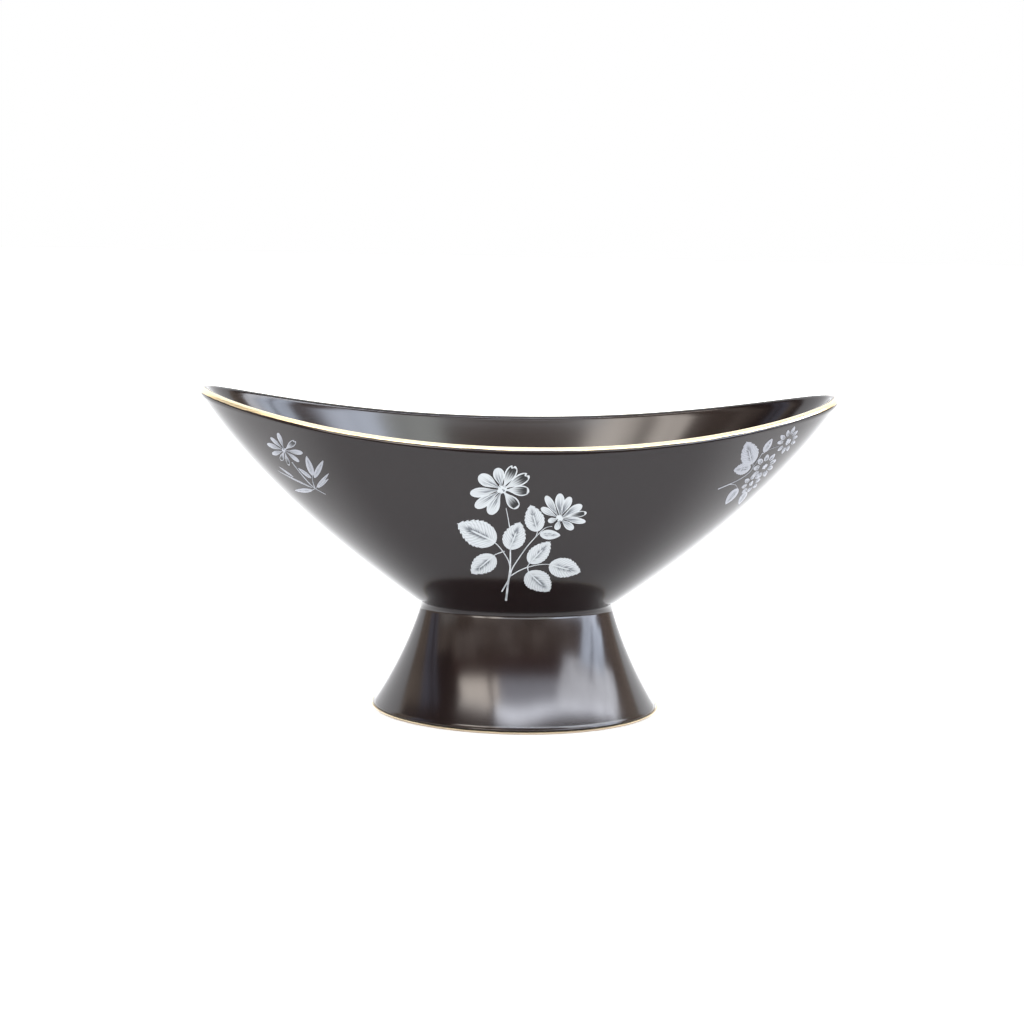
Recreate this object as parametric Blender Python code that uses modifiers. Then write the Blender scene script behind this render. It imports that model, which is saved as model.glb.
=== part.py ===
"""Boat-shaped footed bowl in black glazed earthenware, with gilt lines and raised enamel flower sprays.

The bowl is long in X and narrow in Y, stands on Z = 0 and is centred on the Z axis.
Its front is the -Y side. The sprays are repeated on the back, turned half a turn about Z.
"""

import math

import bmesh
import bpy
from mathutils import Matrix, Vector

MM = 0.001

# Bowl: the rim is a long oval that sweeps up to a tip at each end
RIM_HALF_LENGTH = 139.8 * MM
RIM_HALF_WIDTH = 59.5 * MM
TIP_HEIGHT = 138.0 * MM
MID_RIM_HEIGHT = 121.4 * MM
RIM_SWEEP = 2.11  # power of the rise from the middle of the rim to its tips
WALL_BELLY = 0.385  # how far the wall swells outside a straight line from waist to rim
SIDE_SWELL = 0.9  # how much more the long sides swell, low on the wall
WALL = 4.4 * MM
LIP_ROUND = 2.1 * MM

# Waist, where the bowl sits on the foot
WAIST_HALF_LENGTH = 42.3 * MM
WAIST_HALF_WIDTH = 26.0 * MM
WAIST_HEIGHT = 46.0 * MM
LUTING = 1.8 * MM  # height of the slip joint
LUTING_HOLLOW = 0.5 * MM  # how deep its concave face is

# Foot: a hollow flared skirt
FOOT_HALF_LENGTH = 63.2 * MM
FOOT_HALF_WIDTH = 58.0 * MM
FOOT_HOLLOW = -0.36  # the skirt's inward curve, against a straight flare
FOOT_WALL = 4.6 * MM
FOOT_ROUND = 0.7 * MM
STANDING_RING = 0.6 * MM  # height of the bare clay that the foot stands on
RING_BULGE = 0.4  # share of the clay ring's height where its outer side is widest

# Gilding and enamel, thin layers that keep a clear gap to the glaze below them
GAP = 0.3 * MM
LIP_CLEARANCE = 0.42 * MM
GILT = 0.4 * MM
RIM_GILT_OUTER_LEG = 1.0 * MM
RIM_GILT_INNER_LEG = 0.4 * MM
FOOT_GILT_DROPS = (0.985, 0.962)  # where the foot's gilt line lies, as shares of its height
FOOT_GILT_STAND_OFF = 0.375 * MM
ENAMEL = 0.4 * MM
STEM_RADIUS = 0.26 * MM
BLOOM_EYE = 2.0 * MM
PETAL_GAP = 0.15 * MM

SEGMENTS = 64
WALL_STEPS = 9
LIP_STEPS = 6
FOOT_STEPS = 6
LEAF_STEPS = 6
STEM_STEPS = 2

# A spray is drawn flat, in millimetres (across, up) from its anchor point on the wall.
# The anchor is an angle round the bowl and a share of the wall's height.
# Bloom: centre, petals, reach, lean (how much longer its upper petals are), first petal's angle.
# Leaf: base, tip, width. Stem: points from its foot to its end; a leaf's stem ends at its middle.
FRONT_SPRAY = {
    "anchor": (-93.5, 0.41),
    "blooms": {
        "large_bloom": ((-5.0, 28.0), 9, 12.6, 0.0, 29.0),
        "small_bloom": ((19.9, 15.0), 10, 8.7, 0.34, 15.0),
    },
    "leaves": [
        ((-7.6, 4.0), (-23.4, 11.6), 11.4),
        ((-7.8, -3.6), (-16.7, -14.0), 9.6),
        ((-1.0, 0.8), (2.9, 13.4), 9.0),
        ((9.6, 9.4), (5.4, 20.8), 7.4),
        ((12.4, 6.9), (19.6, 6.2), 3.2),
        ((7.4, -7.0), (16.0, 3.4), 8.2),
        ((17.6, -7.5), (29.7, -12.4), 9.2),
        ((8.9, -12.0), (17.5, -22.6), 9.4),
    ],
    "stems": [
        [(-1.7, -28.0), (-1.2, -18.0), (-0.6, -8.7), (-0.8, 0.0), (0.9, 7.0)],
        [(-0.6, -8.7), (-1.8, -4.2), (-4.6, 0.6), (-8.0, 4.2), (-15.4, 7.8)],
        [(-3.2, -1.6), (-7.5, -3.3), (-12.2, -8.8)],
        [(-3.7, -21.5), (-1.1, -15.5)],
        [(-1.1, -15.0), (2.0, -6.4), (5.5, 1.1), (9.6, 6.8), (13.2, 10.6)],
        [(9.4, 6.6), (9.4, 9.6), (7.4, 15.2)],
        [(10.2, 7.6), (12.6, 7.2), (16.0, 6.6)],
        [(-1.1, -14.8), (3.0, -10.8), (6.8, -8.6), (12.0, -7.4), (17.0, -7.5), (23.5, -10.0)],
        [(6.8, -8.6), (9.0, -4.8), (11.6, -2.0)],
        [(6.8, -8.6), (8.8, -12.0), (13.2, -17.2)],
        [(0.2, 5.6), (-1.8, 10.6), (-2.4, 13.6)],
    ],
}
LEFT_SPRAY = {
    "anchor": (-142.6, 0.713),
    "blooms": {"bloom": ((-5.3, 9.5), 9, 7.4, 0.0, 15.0)},
    "leaves": [
        ((5.7, -1.0), (5.4, 7.7), 3.0),
        ((3.8, -2.7), (-0.3, 0.7), 1.8),
        ((6.6, -2.6), (13.0, 6.0), 2.4),
        ((7.0, -7.6), (14.1, -0.3), 1.8),
        ((2.8, -10.2), (-7.1, -13.1), 2.2),
        ((0.6, -7.6), (-13.1, -3.1), 1.3),
        ((-4.4, -4.0), (-11.0, -0.7), 1.4),
    ],
    "stems": [
        [(-0.6, 0.2), (1.4, -3.6), (5.0, -8.3), (9.9, -11.3)],
        [(5.6, -8.6), (5.4, -4.4), (5.6, -1.2), (5.5, 3.4)],
        [(5.4, -4.2), (4.2, -2.9), (1.8, -1.0)],
        [(5.4, -4.4), (6.6, -2.6), (9.8, 1.7)],
        [(5.2, -8.4), (7.2, -7.4), (10.6, -4.0)],
        [(5.4, -8.6), (2.6, -10.3), (-2.2, -11.7)],
        [(4.8, -8.1), (0.6, -7.6), (-6.2, -5.4)],
        [(-1.0, -7.2), (-4.4, -4.0), (-7.7, -2.4)],
    ],
}
RIGHT_SPRAY = {
    "anchor": (-35.4, 0.747),
    "blooms": {
        "upper_bloom": ((12.0, 12.5), 9, 4.9, 0.0, 10.0),
        "middle_bloom": ((4.2, 0.8), 9, 5.3, 0.0, 30.0),
        "lower_bloom": ((-0.8, -9.0), 8, 4.2, 0.0, 0.0),
    },
    "leaves": [
        ((-4.0, 3.6), (-13.3, 13.4), 8.6),
        ((-1.4, 8.0), (0.9, 14.4), 2.8),
        ((-5.4, 0.2), (-13.8, -0.7), 5.2),
        ((-7.0, -10.0), (-9.9, -18.4), 4.6),
        ((-0.9, -14.8), (-0.4, -21.4), 4.2),
    ],
    "stems": [
        [(-18.1, -9.6), (-13.0, -7.2), (-8.5, -5.2), (-4.0, -1.2), (-2.6, 3.6), (-1.6, 8.0)],
        [(-3.1, 2.2), (-4.4, 4.2), (-8.6, 8.5)],
        [(-2.0, 6.6), (-1.2, 8.6), (-0.3, 11.2)],
        [(-1.8, 7.4), (2.0, 8.8), (6.0, 9.8)],
        [(-3.6, 0.2), (-5.6, 0.2), (-9.6, -0.3)],
        [(-13.0, -7.2), (-9.4, -7.6), (-7.2, -9.6), (-8.4, -14.2)],
        [(-7.2, -9.8), (-4.6, -13.8), (-1.0, -14.8), (-0.7, -18.2)],
    ],
}

BLACK_GLAZE = ("black_glaze", (0.006, 0.005, 0.005), 0.04, 0.0)
BARE_CLAY = ("bare_clay", (0.52, 0.42, 0.32), 0.85, 0.0)
GILDING = ("pale_gilding", (0.86, 0.72, 0.45), 0.22, 1.0)
WHITE_ENAMEL = ("white_enamel", (0.82, 0.83, 0.84), 0.45, 0.0)


def clear_scene():
    for obj in list(bpy.data.objects):
        bpy.data.objects.remove(obj, do_unlink=True)


def new_material(name, colour, roughness, metallic):
    material = bpy.data.materials.new(name)
    material.use_nodes = True
    shader = material.node_tree.nodes["Principled BSDF"]
    shader.inputs["Base Color"].default_value = (*colour, 1.0)
    shader.inputs["Roughness"].default_value = roughness
    shader.inputs["Metallic"].default_value = metallic
    material.diffuse_color = (*colour, 1.0)
    return material


def rim_height(angle):
    """The rim's height: lowest at the middle of each long side, highest at the two tips."""
    return MID_RIM_HEIGHT + (TIP_HEIGHT - MID_RIM_HEIGHT) * abs(math.cos(angle)) ** RIM_SWEEP


def wall_point(angle, rise):
    """A point on the bowl's outer face. rise runs from 0 at the waist to 1 at the rim."""
    spread = rise + WALL_BELLY * rise * (1 - rise)
    half_length = WAIST_HALF_LENGTH + (RIM_HALF_LENGTH - WAIST_HALF_LENGTH) * spread
    side_spread = spread + SIDE_SWELL * rise * (1 - rise) ** 2
    half_width = WAIST_HALF_WIDTH + (RIM_HALF_WIDTH - WAIST_HALF_WIDTH) * side_spread
    height = WAIST_HEIGHT + (rim_height(angle) - WAIST_HEIGHT) * rise
    return Vector((half_length * math.cos(angle), half_width * math.sin(angle), height))


def wall_frame(angle, rise):
    """Unit vectors at a point of the wall: level and along it, up the slope, and straight out."""
    step = 1e-4
    along = wall_point(angle + step, rise) - wall_point(angle - step, rise)
    slope = wall_point(angle, rise + step) - wall_point(angle, rise - step)
    out = along.cross(slope).normalized()
    level = Vector((along.x, along.y, 0)).normalized()
    return level, out.cross(level), out


def foot_point(angle, drop, inset=0.0):
    """A point of the foot, inset from its outer face. drop runs from 0 at its top to 1 at its bottom edge."""
    spread = drop + FOOT_HOLLOW * drop * (1 - drop)
    half_length = WAIST_HALF_LENGTH + (FOOT_HALF_LENGTH - WAIST_HALF_LENGTH) * spread - inset
    half_width = WAIST_HALF_WIDTH + (FOOT_HALF_WIDTH - WAIST_HALF_WIDTH) * spread - inset
    top = WAIST_HEIGHT - LUTING - GAP
    bottom = STANDING_RING + GAP
    height = top + (bottom - top) * drop
    return Vector((half_length * math.cos(angle), half_width * math.sin(angle), height))


def oval_point(half_length, half_width, height, angle):
    return Vector((half_length * math.cos(angle), half_width * math.sin(angle), height))


def loft(name, sections, closed=False, capped=False):
    """A ring drawn out through closed loops, each a function of the angle round the bowl.

    closed brings the last loop round to the first; capped fills the first loop.
    """
    builder = bmesh.new()
    angle_of = builder.verts.layers.float.new("angle")
    ring = bmesh.ops.create_circle(builder, segments=SEGMENTS, radius=1.0)["verts"]
    for vert in ring:
        vert[angle_of] = math.atan2(vert.co.y, vert.co.x)
        vert.co = sections[0](vert[angle_of])
    edges = builder.edges[:]
    if capped:
        bmesh.ops.edgeloop_fill(builder, edges=edges)
    for section in sections[1:] + sections[: int(closed)]:
        grown = bmesh.ops.extrude_edge_only(builder, edges=edges)["geom"]
        ring = [item for item in grown if isinstance(item, bmesh.types.BMVert)]
        for vert in ring:
            vert.co = section(vert[angle_of])
        edges = [edge for edge in builder.edges if edge.verts[0] in ring and edge.verts[1] in ring]
    bmesh.ops.remove_doubles(builder, verts=builder.verts, dist=1e-6)
    bmesh.ops.recalc_face_normals(builder, faces=builder.faces)
    mesh = bpy.data.meshes.new(name)
    builder.to_mesh(mesh)
    builder.free()
    return mesh


def face_away_from_axis(mesh):
    """Turns an open band's faces so that they look away from the Z axis."""
    facing = sum(
        face.normal.x * face.center.x / RIM_HALF_LENGTH + face.normal.y * face.center.y / RIM_HALF_WIDTH
        for face in mesh.polygons
    )
    if facing < 0:
        mesh.flip_normals()


def add_part(name, mesh, material, parent, collection):
    obj = bpy.data.objects.new(name, mesh)
    collection.objects.link(obj)
    obj.parent = parent
    mesh.materials.clear()
    mesh.materials.append(material)
    mesh.shade_smooth()
    mesh.set_sharp_from_angle(angle=math.radians(40))
    return obj


def add_solidify(obj, thickness, offset):
    modifier = obj.modifiers.new("wall", "SOLIDIFY")
    modifier.thickness = thickness
    modifier.offset = offset
    modifier.use_even_offset = True
    modifier.use_quality_normals = True


def add_edge_rounding(obj, width, sharper_than):
    modifier = obj.modifiers.new("rounded edges", "BEVEL")
    modifier.width = width
    modifier.segments = 3
    modifier.limit_method = "ANGLE"
    modifier.angle_limit = math.radians(sharper_than)


def bowl_mesh():
    sections = [
        lambda angle, rise=step / WALL_STEPS: wall_point(angle, rise)
        for step in range(WALL_STEPS + 1)
    ]
    mesh = loft("bowl_body", sections, capped=True)
    face_away_from_axis(mesh)
    return mesh


def foot_mesh():
    """The outer face from its top to its bottom edge, then the inner face back up, level at both ends."""
    outer = [(step / FOOT_STEPS, 0.0) for step in range(FOOT_STEPS + 1)]
    inner = [(drop, FOOT_WALL) for drop, _ in reversed(outer)]
    sections = [
        lambda angle, drop=drop, inset=inset: foot_point(angle, drop, inset)
        for drop, inset in outer + inner
    ]
    return loft("pedestal_foot", sections, closed=True)


def luting_mesh():
    """The slip joint: a level oval ring whose outer face is a shallow hollow."""
    top = WAIST_HEIGHT - GAP
    bottom = WAIST_HEIGHT - LUTING
    corners = [(-FOOT_WALL, bottom), (-FOOT_WALL, top)]
    for step in range(5):
        share = step / 4
        inset = LUTING_HOLLOW * math.sin(math.pi * share)
        corners.append((-inset, top + (bottom - top) * share))
    sections = [
        lambda angle, inset=inset, height=height: oval_point(
            WAIST_HALF_LENGTH + inset, WAIST_HALF_WIDTH + inset, height, angle
        )
        for inset, height in corners
    ]
    return loft("waist_luting", sections, closed=True)


def standing_ring_mesh():
    """The bare clay ring under the foot, flat below and a little narrower than the foot's wall."""
    outer = 1.1 * MM
    inner = FOOT_WALL - 0.4 * MM
    corners = [
        (-outer - GAP, STANDING_RING),
        (-outer, RING_BULGE * STANDING_RING),
        (-outer - GAP, 0.0),
        (-inner, 0.0),
        (-inner - GAP, STANDING_RING),
    ]
    sections = [
        lambda angle, inset=inset, height=height: oval_point(
            FOOT_HALF_LENGTH + inset, FOOT_HALF_WIDTH + inset, height, angle
        )
        for inset, height in corners
    ]
    return loft("standing_ring", sections, closed=True)


def lip_point(angle, outward, upward):
    """A point beside the lip, measured from the centre of the wall just under the rim."""
    out = wall_frame(angle, 1.0)[2]
    step = 1e-4
    along = (wall_point(angle + step, 1.0) - wall_point(angle - step, 1.0)).normalized()
    up = out.cross(along)
    centre = wall_point(angle, 1.0) - out * (WALL / 2) - up * (WALL / 2)
    return centre + out * outward + up * upward


def rim_gilt_mesh():
    """A channel that wraps over the rounded lip."""
    radius = WALL / 2 + LIP_CLEARANCE
    profile = [(radius, -RIM_GILT_OUTER_LEG)]
    for step in range(LIP_STEPS + 1):
        turn = math.pi * step / LIP_STEPS
        profile.append((radius * math.cos(turn), radius * math.sin(turn)))
    profile.append((-radius, -RIM_GILT_INNER_LEG))
    sections = [
        lambda angle, outward=outward, upward=upward: lip_point(angle, outward, upward)
        for outward, upward in profile
    ]
    mesh = loft("rim_gilt_line", sections)
    top = max(mesh.polygons, key=lambda face: face.normal.z * face.normal.z)
    if top.normal.z < 0:
        mesh.flip_normals()
    return mesh


def foot_gilt_mesh():
    """A narrow band round the foot, just above its bottom edge."""
    sections = [
        lambda angle, drop=drop: foot_point(angle, drop, -FOOT_GILT_STAND_OFF) for drop in FOOT_GILT_DROPS
    ]
    mesh = loft("foot_gilt_line", sections)
    face_away_from_axis(mesh)
    return mesh


def on_wall(anchor, across, up):
    """The angle and rise where a flat drawing's point lands on the wall, laid along the anchor's normal."""
    angle, rise = math.radians(anchor[0]), anchor[1]
    origin = wall_point(angle, rise)
    level, slope, _ = wall_frame(angle, rise)
    step = 1e-4
    for _ in range(12):
        here = wall_point(angle, rise) - origin
        miss = Vector((across * MM - here.dot(level), up * MM - here.dot(slope)))
        by_angle = (wall_point(angle + step, rise) - origin - here) / step
        by_rise = (wall_point(angle, rise + step) - origin - here) / step
        grid = Matrix(
            ((by_angle.dot(level), by_rise.dot(level)), (by_angle.dot(slope), by_rise.dot(slope)))
        )
        change = grid.inverted() @ miss
        angle += change.x
        rise += change.y
    return angle, rise


def laid_flat(anchor, base, tip):
    """The placing of a flat piece between two points of a drawing: X from base to tip, Z out of the wall."""
    middle = on_wall(anchor, (base[0] + tip[0]) / 2, (base[1] + tip[1]) / 2)
    _, _, out = wall_frame(*middle)
    run = wall_point(*on_wall(anchor, *tip)) - wall_point(*on_wall(anchor, *base))
    along = (run - out * run.dot(out)).normalized()
    side = out.cross(along)
    centre = wall_point(*middle) + out * (GAP + ENAMEL / 2)
    placing = Matrix((along, side, out)).transposed().to_4x4()
    placing.translation = centre
    return placing


def flat_piece(outline):
    """A thin plate with this outline, made from a filled flat curve."""
    curve = bpy.data.curves.new("outline", "CURVE")
    curve.dimensions = "2D"
    curve.fill_mode = "BOTH"
    curve.extrude = ENAMEL / 2
    spline = curve.splines.new("POLY")
    spline.points.add(len(outline) - 1)
    for point, (x, y) in zip(spline.points, outline):
        point.co = (x, y, 0, 1)
    spline.use_cyclic_u = True
    return evaluated_mesh(curve)


def evaluated_mesh(curve):
    """The curve as a closed mesh, with its caps welded on."""
    obj = bpy.data.objects.new("outline", curve)
    bpy.context.scene.collection.objects.link(obj)
    graph = bpy.context.evaluated_depsgraph_get()
    mesh = bpy.data.meshes.new_from_object(obj.evaluated_get(graph))
    bpy.data.objects.remove(obj)
    bpy.data.curves.remove(curve)
    builder = bmesh.new()
    builder.from_mesh(mesh)
    bmesh.ops.remove_doubles(builder, verts=builder.verts, dist=1e-6)
    bmesh.ops.recalc_face_normals(builder, faces=builder.faces)
    builder.to_mesh(mesh)
    builder.free()
    return mesh


def bloom_outline(petals, reach, lean, first):
    """Petals round an eye as one outline, narrow at the eye and broad near their round ends."""
    half_turn = math.pi / petals
    outline = []
    for number in range(petals):
        turn = math.radians(first) + math.tau * number / petals
        length = reach * (1 + lean * math.sin(turn))
        outline.append((BLOOM_EYE * math.cos(turn - half_turn), BLOOM_EYE * math.sin(turn - half_turn)))
        broad = 0.72 * length * math.tan(half_turn) - PETAL_GAP
        narrow = 0.45 * length * math.tan(half_turn) - PETAL_GAP
        right_side = [(0.45, narrow), (0.72, broad), (0.92, 0.8 * broad), (1.0, 0.3 * broad)]
        for share, half in right_side:
            outline.append(turned(length * share, -half, turn))
        for share, half in reversed(right_side):
            outline.append(turned(length * share, half, turn))
    return outline


def turned(x, y, angle):
    return (x * math.cos(angle) - y * math.sin(angle), x * math.sin(angle) + y * math.cos(angle))


def leaf_outline(length, width):
    """A pointed oval, broadest nearer its base."""
    upper = []
    for step in range(1, LEAF_STEPS):
        share = step / LEAF_STEPS
        half = width / 2 * math.sin(math.pi * share**0.8) ** 0.75
        upper.append((length * (share - 0.5), half))
    lower = [(x, -y) for x, y in reversed(upper)]
    return [(-length / 2, 0.0)] + upper + [(length / 2, 0.0)] + lower


def bloom_mesh(anchor, bloom):
    (across, up), petals, reach, lean, first = bloom
    mesh = flat_piece(bloom_outline(petals, reach * MM, lean, first))
    mesh.transform(laid_flat(anchor, (across - 1, up), (across + 1, up)))
    return mesh


def leaf_mesh(anchor, base, tip, width):
    mesh = flat_piece(leaf_outline(math.dist(base, tip) * MM, width * MM))
    mesh.transform(laid_flat(anchor, base, tip))
    return mesh


def smooth_run(points):
    """More points along a smooth curve through these."""
    ends = [Vector(point) for point in (points[0], *points, points[-1])]
    run = []
    for before, here, after, beyond in zip(ends, ends[1:], ends[2:], ends[3:]):
        for step in range(STEM_STEPS):
            t = step / STEM_STEPS
            bend = 2 * before - 5 * here + 4 * after - beyond
            twist = 3 * here - before - 3 * after + beyond
            run.append((2 * here + (after - before) * t + bend * t**2 + twist * t**3) / 2)
    run.append(ends[-1])
    return run


def stem_mesh(anchor, points):
    """A thin round strand that follows the wall."""
    curve = bpy.data.curves.new("stem", "CURVE")
    curve.dimensions = "3D"
    curve.bevel_depth = STEM_RADIUS
    curve.bevel_resolution = 0
    curve.use_fill_caps = True
    run = smooth_run(points)
    spline = curve.splines.new("POLY")
    spline.points.add(len(run) - 1)
    for point, place in zip(spline.points, run):
        spot = on_wall(anchor, place.x, place.y)
        out = wall_frame(*spot)[2]
        point.co = (*(wall_point(*spot) + out * (GAP + STEM_RADIUS)), 1)
    return evaluated_mesh(curve)


def united(name, meshes):
    """One body made of overlapping closed meshes, by Boolean union."""
    objects = [bpy.data.objects.new(name, mesh) for mesh in meshes]
    for obj in objects:
        bpy.context.scene.collection.objects.link(obj)
    whole = objects[0]
    for obj in objects[1:]:
        union = whole.modifiers.new("union", "BOOLEAN")
        union.operation = "UNION"
        union.solver = "EXACT"
        union.object = obj
    graph = bpy.context.evaluated_depsgraph_get()
    result = bpy.data.meshes.new_from_object(whole.evaluated_get(graph))
    result.name = name
    for obj in objects:
        bpy.data.objects.remove(obj)
    return result


def spray_meshes(spray):
    """The meshes of one spray, by the name of each part of it."""
    anchor = spray["anchor"]
    meshes = {part: bloom_mesh(anchor, bloom) for part, bloom in spray["blooms"].items()}
    strands = [stem_mesh(anchor, points) for points in spray["stems"]]
    leaves = [leaf_mesh(anchor, *leaf) for leaf in spray["leaves"]]
    meshes["stem_and_leaves"] = united("stem_and_leaves", strands + leaves)
    return meshes


def add_sprays(enamel, front, back, collection):
    for side, spray in (("front", FRONT_SPRAY), ("left", LEFT_SPRAY), ("right", RIGHT_SPRAY)):
        back_side = "back" if side == "front" else f"back_{side}"
        for part, mesh in spray_meshes(spray).items():
            add_part(f"{side}_spray_{part}", mesh, enamel, front, collection)
            add_part(f"{back_side}_spray_{part}", mesh, enamel, back, collection)


def add_empty(name, turn, parent, collection):
    empty = bpy.data.objects.new(name, None)
    collection.objects.link(empty)
    empty.parent = parent
    empty.rotation_euler.z = turn
    return empty


def main():
    clear_scene()
    collection = bpy.data.collections.new("footed_oval_bowl")
    bpy.context.scene.collection.children.link(collection)
    glaze = new_material(*BLACK_GLAZE)
    clay = new_material(*BARE_CLAY)
    gilding = new_material(*GILDING)
    enamel = new_material(*WHITE_ENAMEL)
    base = add_empty("bowl_on_table", 0.0, None, collection)
    front = add_empty("front_face", 0.0, base, collection)
    back = add_empty("back_face", math.pi, base, collection)

    bowl = add_part("bowl_body", bowl_mesh(), glaze, base, collection)
    add_solidify(bowl, WALL, -1)
    add_edge_rounding(bowl, LIP_ROUND, 72)

    foot = add_part("pedestal_foot", foot_mesh(), glaze, base, collection)
    add_edge_rounding(foot, FOOT_ROUND, 50)

    add_part("waist_luting", luting_mesh(), glaze, base, collection)
    add_part("standing_ring", standing_ring_mesh(), clay, base, collection)

    rim_line = add_part("rim_gilt_line", rim_gilt_mesh(), gilding, base, collection)
    add_solidify(rim_line, GILT, 1)
    foot_line = add_part("foot_gilt_line", foot_gilt_mesh(), gilding, base, collection)
    add_solidify(foot_line, GILT, 1)

    add_sprays(enamel, front, back, collection)


main()
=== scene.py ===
"""Boat-shaped footed bowl in black glazed earthenware, with gilt lines and white enamel flower sprays.

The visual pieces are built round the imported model: the glazed bowl, its waist and its foot, the gilding,
the bare clay ring and the enamel sprays. A white table, soft light and a camera come last.
The bowl is long in X and narrow in Y, its front is the -Y side, and every size is in metres.
"""

import math

import bpy
from bpy.props import FloatProperty, FloatVectorProperty, IntProperty, PointerProperty
from mathutils import Matrix, Vector, noise
from mathutils.bvhtree import BVHTree


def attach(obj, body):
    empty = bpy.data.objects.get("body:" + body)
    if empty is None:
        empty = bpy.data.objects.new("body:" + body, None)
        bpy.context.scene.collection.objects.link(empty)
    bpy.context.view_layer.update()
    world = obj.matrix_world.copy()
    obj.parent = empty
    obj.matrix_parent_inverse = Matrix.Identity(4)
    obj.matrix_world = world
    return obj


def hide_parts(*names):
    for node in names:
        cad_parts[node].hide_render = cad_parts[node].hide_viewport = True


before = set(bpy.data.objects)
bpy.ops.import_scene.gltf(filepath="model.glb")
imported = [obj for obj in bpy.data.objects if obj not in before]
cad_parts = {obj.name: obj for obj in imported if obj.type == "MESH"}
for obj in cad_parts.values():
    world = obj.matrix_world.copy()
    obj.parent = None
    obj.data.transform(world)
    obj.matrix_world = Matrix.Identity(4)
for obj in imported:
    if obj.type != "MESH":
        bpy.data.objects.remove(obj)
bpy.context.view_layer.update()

bl_info = {
    "name": "Footed Oval Bowl",
    "version": (1, 0, 0),
    "blender": (4, 5, 0),
    "location": "View3D > Sidebar > Bowl",
    "description": "Builds a black glazed footed bowl with gilt lines and enamel flower sprays",
    "category": "Object",
}

MM = 0.001
BODY = "root"


def linear(colour):
    """An sRGB hex colour as the linear values that Blender works in."""
    shares = [int(colour[i : i + 2], 16) / 255 for i in (1, 3, 5)]
    return [c / 12.92 if c <= 0.04045 else ((c + 0.055) / 1.055) ** 2.4 for c in shares]


# Sizes and colours


def length(name, millimetres, description):
    return FloatProperty(
        name=name, description=description, default=millimetres * MM, subtype="DISTANCE", unit="LENGTH"
    )


def colour(name, value, description):
    return FloatVectorProperty(
        name=name, description=description, default=linear(value), subtype="COLOR", size=3, min=0, max=1
    )


class BowlSizes(bpy.types.PropertyGroup):
    """The sizes of the bowl, its waist and its foot"""

    rim_half_length: length("Rim half length", 139.8, "From the middle of the bowl to one tip of the rim")
    rim_half_width: length("Rim half width", 59.5, "From the middle of the bowl to the middle of a long side")
    tip_height: length("Tip height", 138.0, "Height of the rim at its two tips")
    mid_rim_height: length("Middle rim height", 121.4, "Height of the rim at the middle of a long side")
    rim_sweep: FloatProperty(name="Rim sweep", description="Power of the rim's rise", default=2.11)
    wall_belly: FloatProperty(name="Wall belly", description="How far the wall swells", default=0.385)
    side_swell: FloatProperty(
        name="Side swell", description="Extra swell of the long sides, low on the wall", default=0.9
    )
    wall: length("Wall", 4.4, "Thickness of the bowl's wall")
    waist_half_length: length("Waist half length", 42.3, "Half of the waist's long side")
    waist_half_width: length("Waist half width", 26.0, "Half of the waist's short side")
    waist_height: length("Waist height", 46.0, "Where the bowl meets its foot")
    foot_half_length: length("Foot half length", 63.2, "Half of the foot's long side, on the table")
    foot_half_width: length("Foot half width", 58.0, "Half of the foot's short side, on the table")
    foot_hollow: FloatProperty(name="Foot hollow", description="The foot's inward curve", default=-0.36)
    foot_wall: length("Foot wall", 4.6, "Thickness of the foot's skirt")
    standing_ring: length("Standing ring", 0.6, "Height of the bare clay under the foot")
    enamel: length("Enamel", 0.14, "How far the painted enamel stands off the glaze")
    segments: IntProperty(name="Segments", description="Steps round the bowl", default=256, min=32)


class BowlColours(bpy.types.PropertyGroup):
    """The colours of the glaze, the gilding, the clay and the enamel"""

    glaze: colour("Glaze", "#030303", "Black glaze")
    gilding: colour("Gilding", "#F3E3C2", "Pale gold lines")
    clay: colour("Clay", "#A98A68", "Bare clay under the foot")
    enamel: colour("Enamel", "#BCC0C2", "Thick white enamel")
    enamel_shade: colour("Enamel shade", "#4E5259", "Grey shading painted into the enamel")
    enamel_wash: colour("Enamel wash", "#0E0E10", "Enamel so thin that the black glaze shows through")
    thin_enamel: colour("Thin enamel", "#92949B", "Thinner white enamel of the side sprays")
    thin_enamel_shade: colour("Thin enamel shade", "#45474D", "Grey shading in the thinner enamel")
    table: colour("Table", "#F8F9FA", "White table")


def sizes():
    return bpy.context.scene.bowl_sizes


def colours():
    return bpy.context.scene.bowl_colours


# Shape of the bowl and foot, as points round an oval


def rim_height(angle):
    """Lowest at the middle of each long side, highest at the two tips."""
    s = sizes()
    return s.mid_rim_height + (s.tip_height - s.mid_rim_height) * abs(math.cos(angle)) ** s.rim_sweep


def wall_point(angle, rise):
    """A point of the bowl's outer face. rise runs from 0 at the waist to 1 at the rim."""
    s = sizes()
    spread = rise + s.wall_belly * rise * (1 - rise)
    half_length = s.waist_half_length + (s.rim_half_length - s.waist_half_length) * spread
    side_spread = spread + s.side_swell * rise * (1 - rise) ** 2
    half_width = s.waist_half_width + (s.rim_half_width - s.waist_half_width) * side_spread
    height = s.waist_height + (rim_height(angle) - s.waist_height) * rise
    return Vector((half_length * math.cos(angle), half_width * math.sin(angle), height))


def wall_axes(angle, rise):
    """Unit vectors at a point of the wall: along the rim, up the slope, and straight out."""
    step = 1e-4
    along = (wall_point(angle + step, rise) - wall_point(angle - step, rise)).normalized()
    slope = wall_point(angle, rise + step) - wall_point(angle, rise - step)
    out = along.cross(slope).normalized()
    return along, out.cross(along), out


def inner_point(angle, rise):
    """The wall's inner face, one wall's thickness inside the outer face."""
    return wall_point(angle, rise) - wall_axes(angle, rise)[2] * sizes().wall


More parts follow.
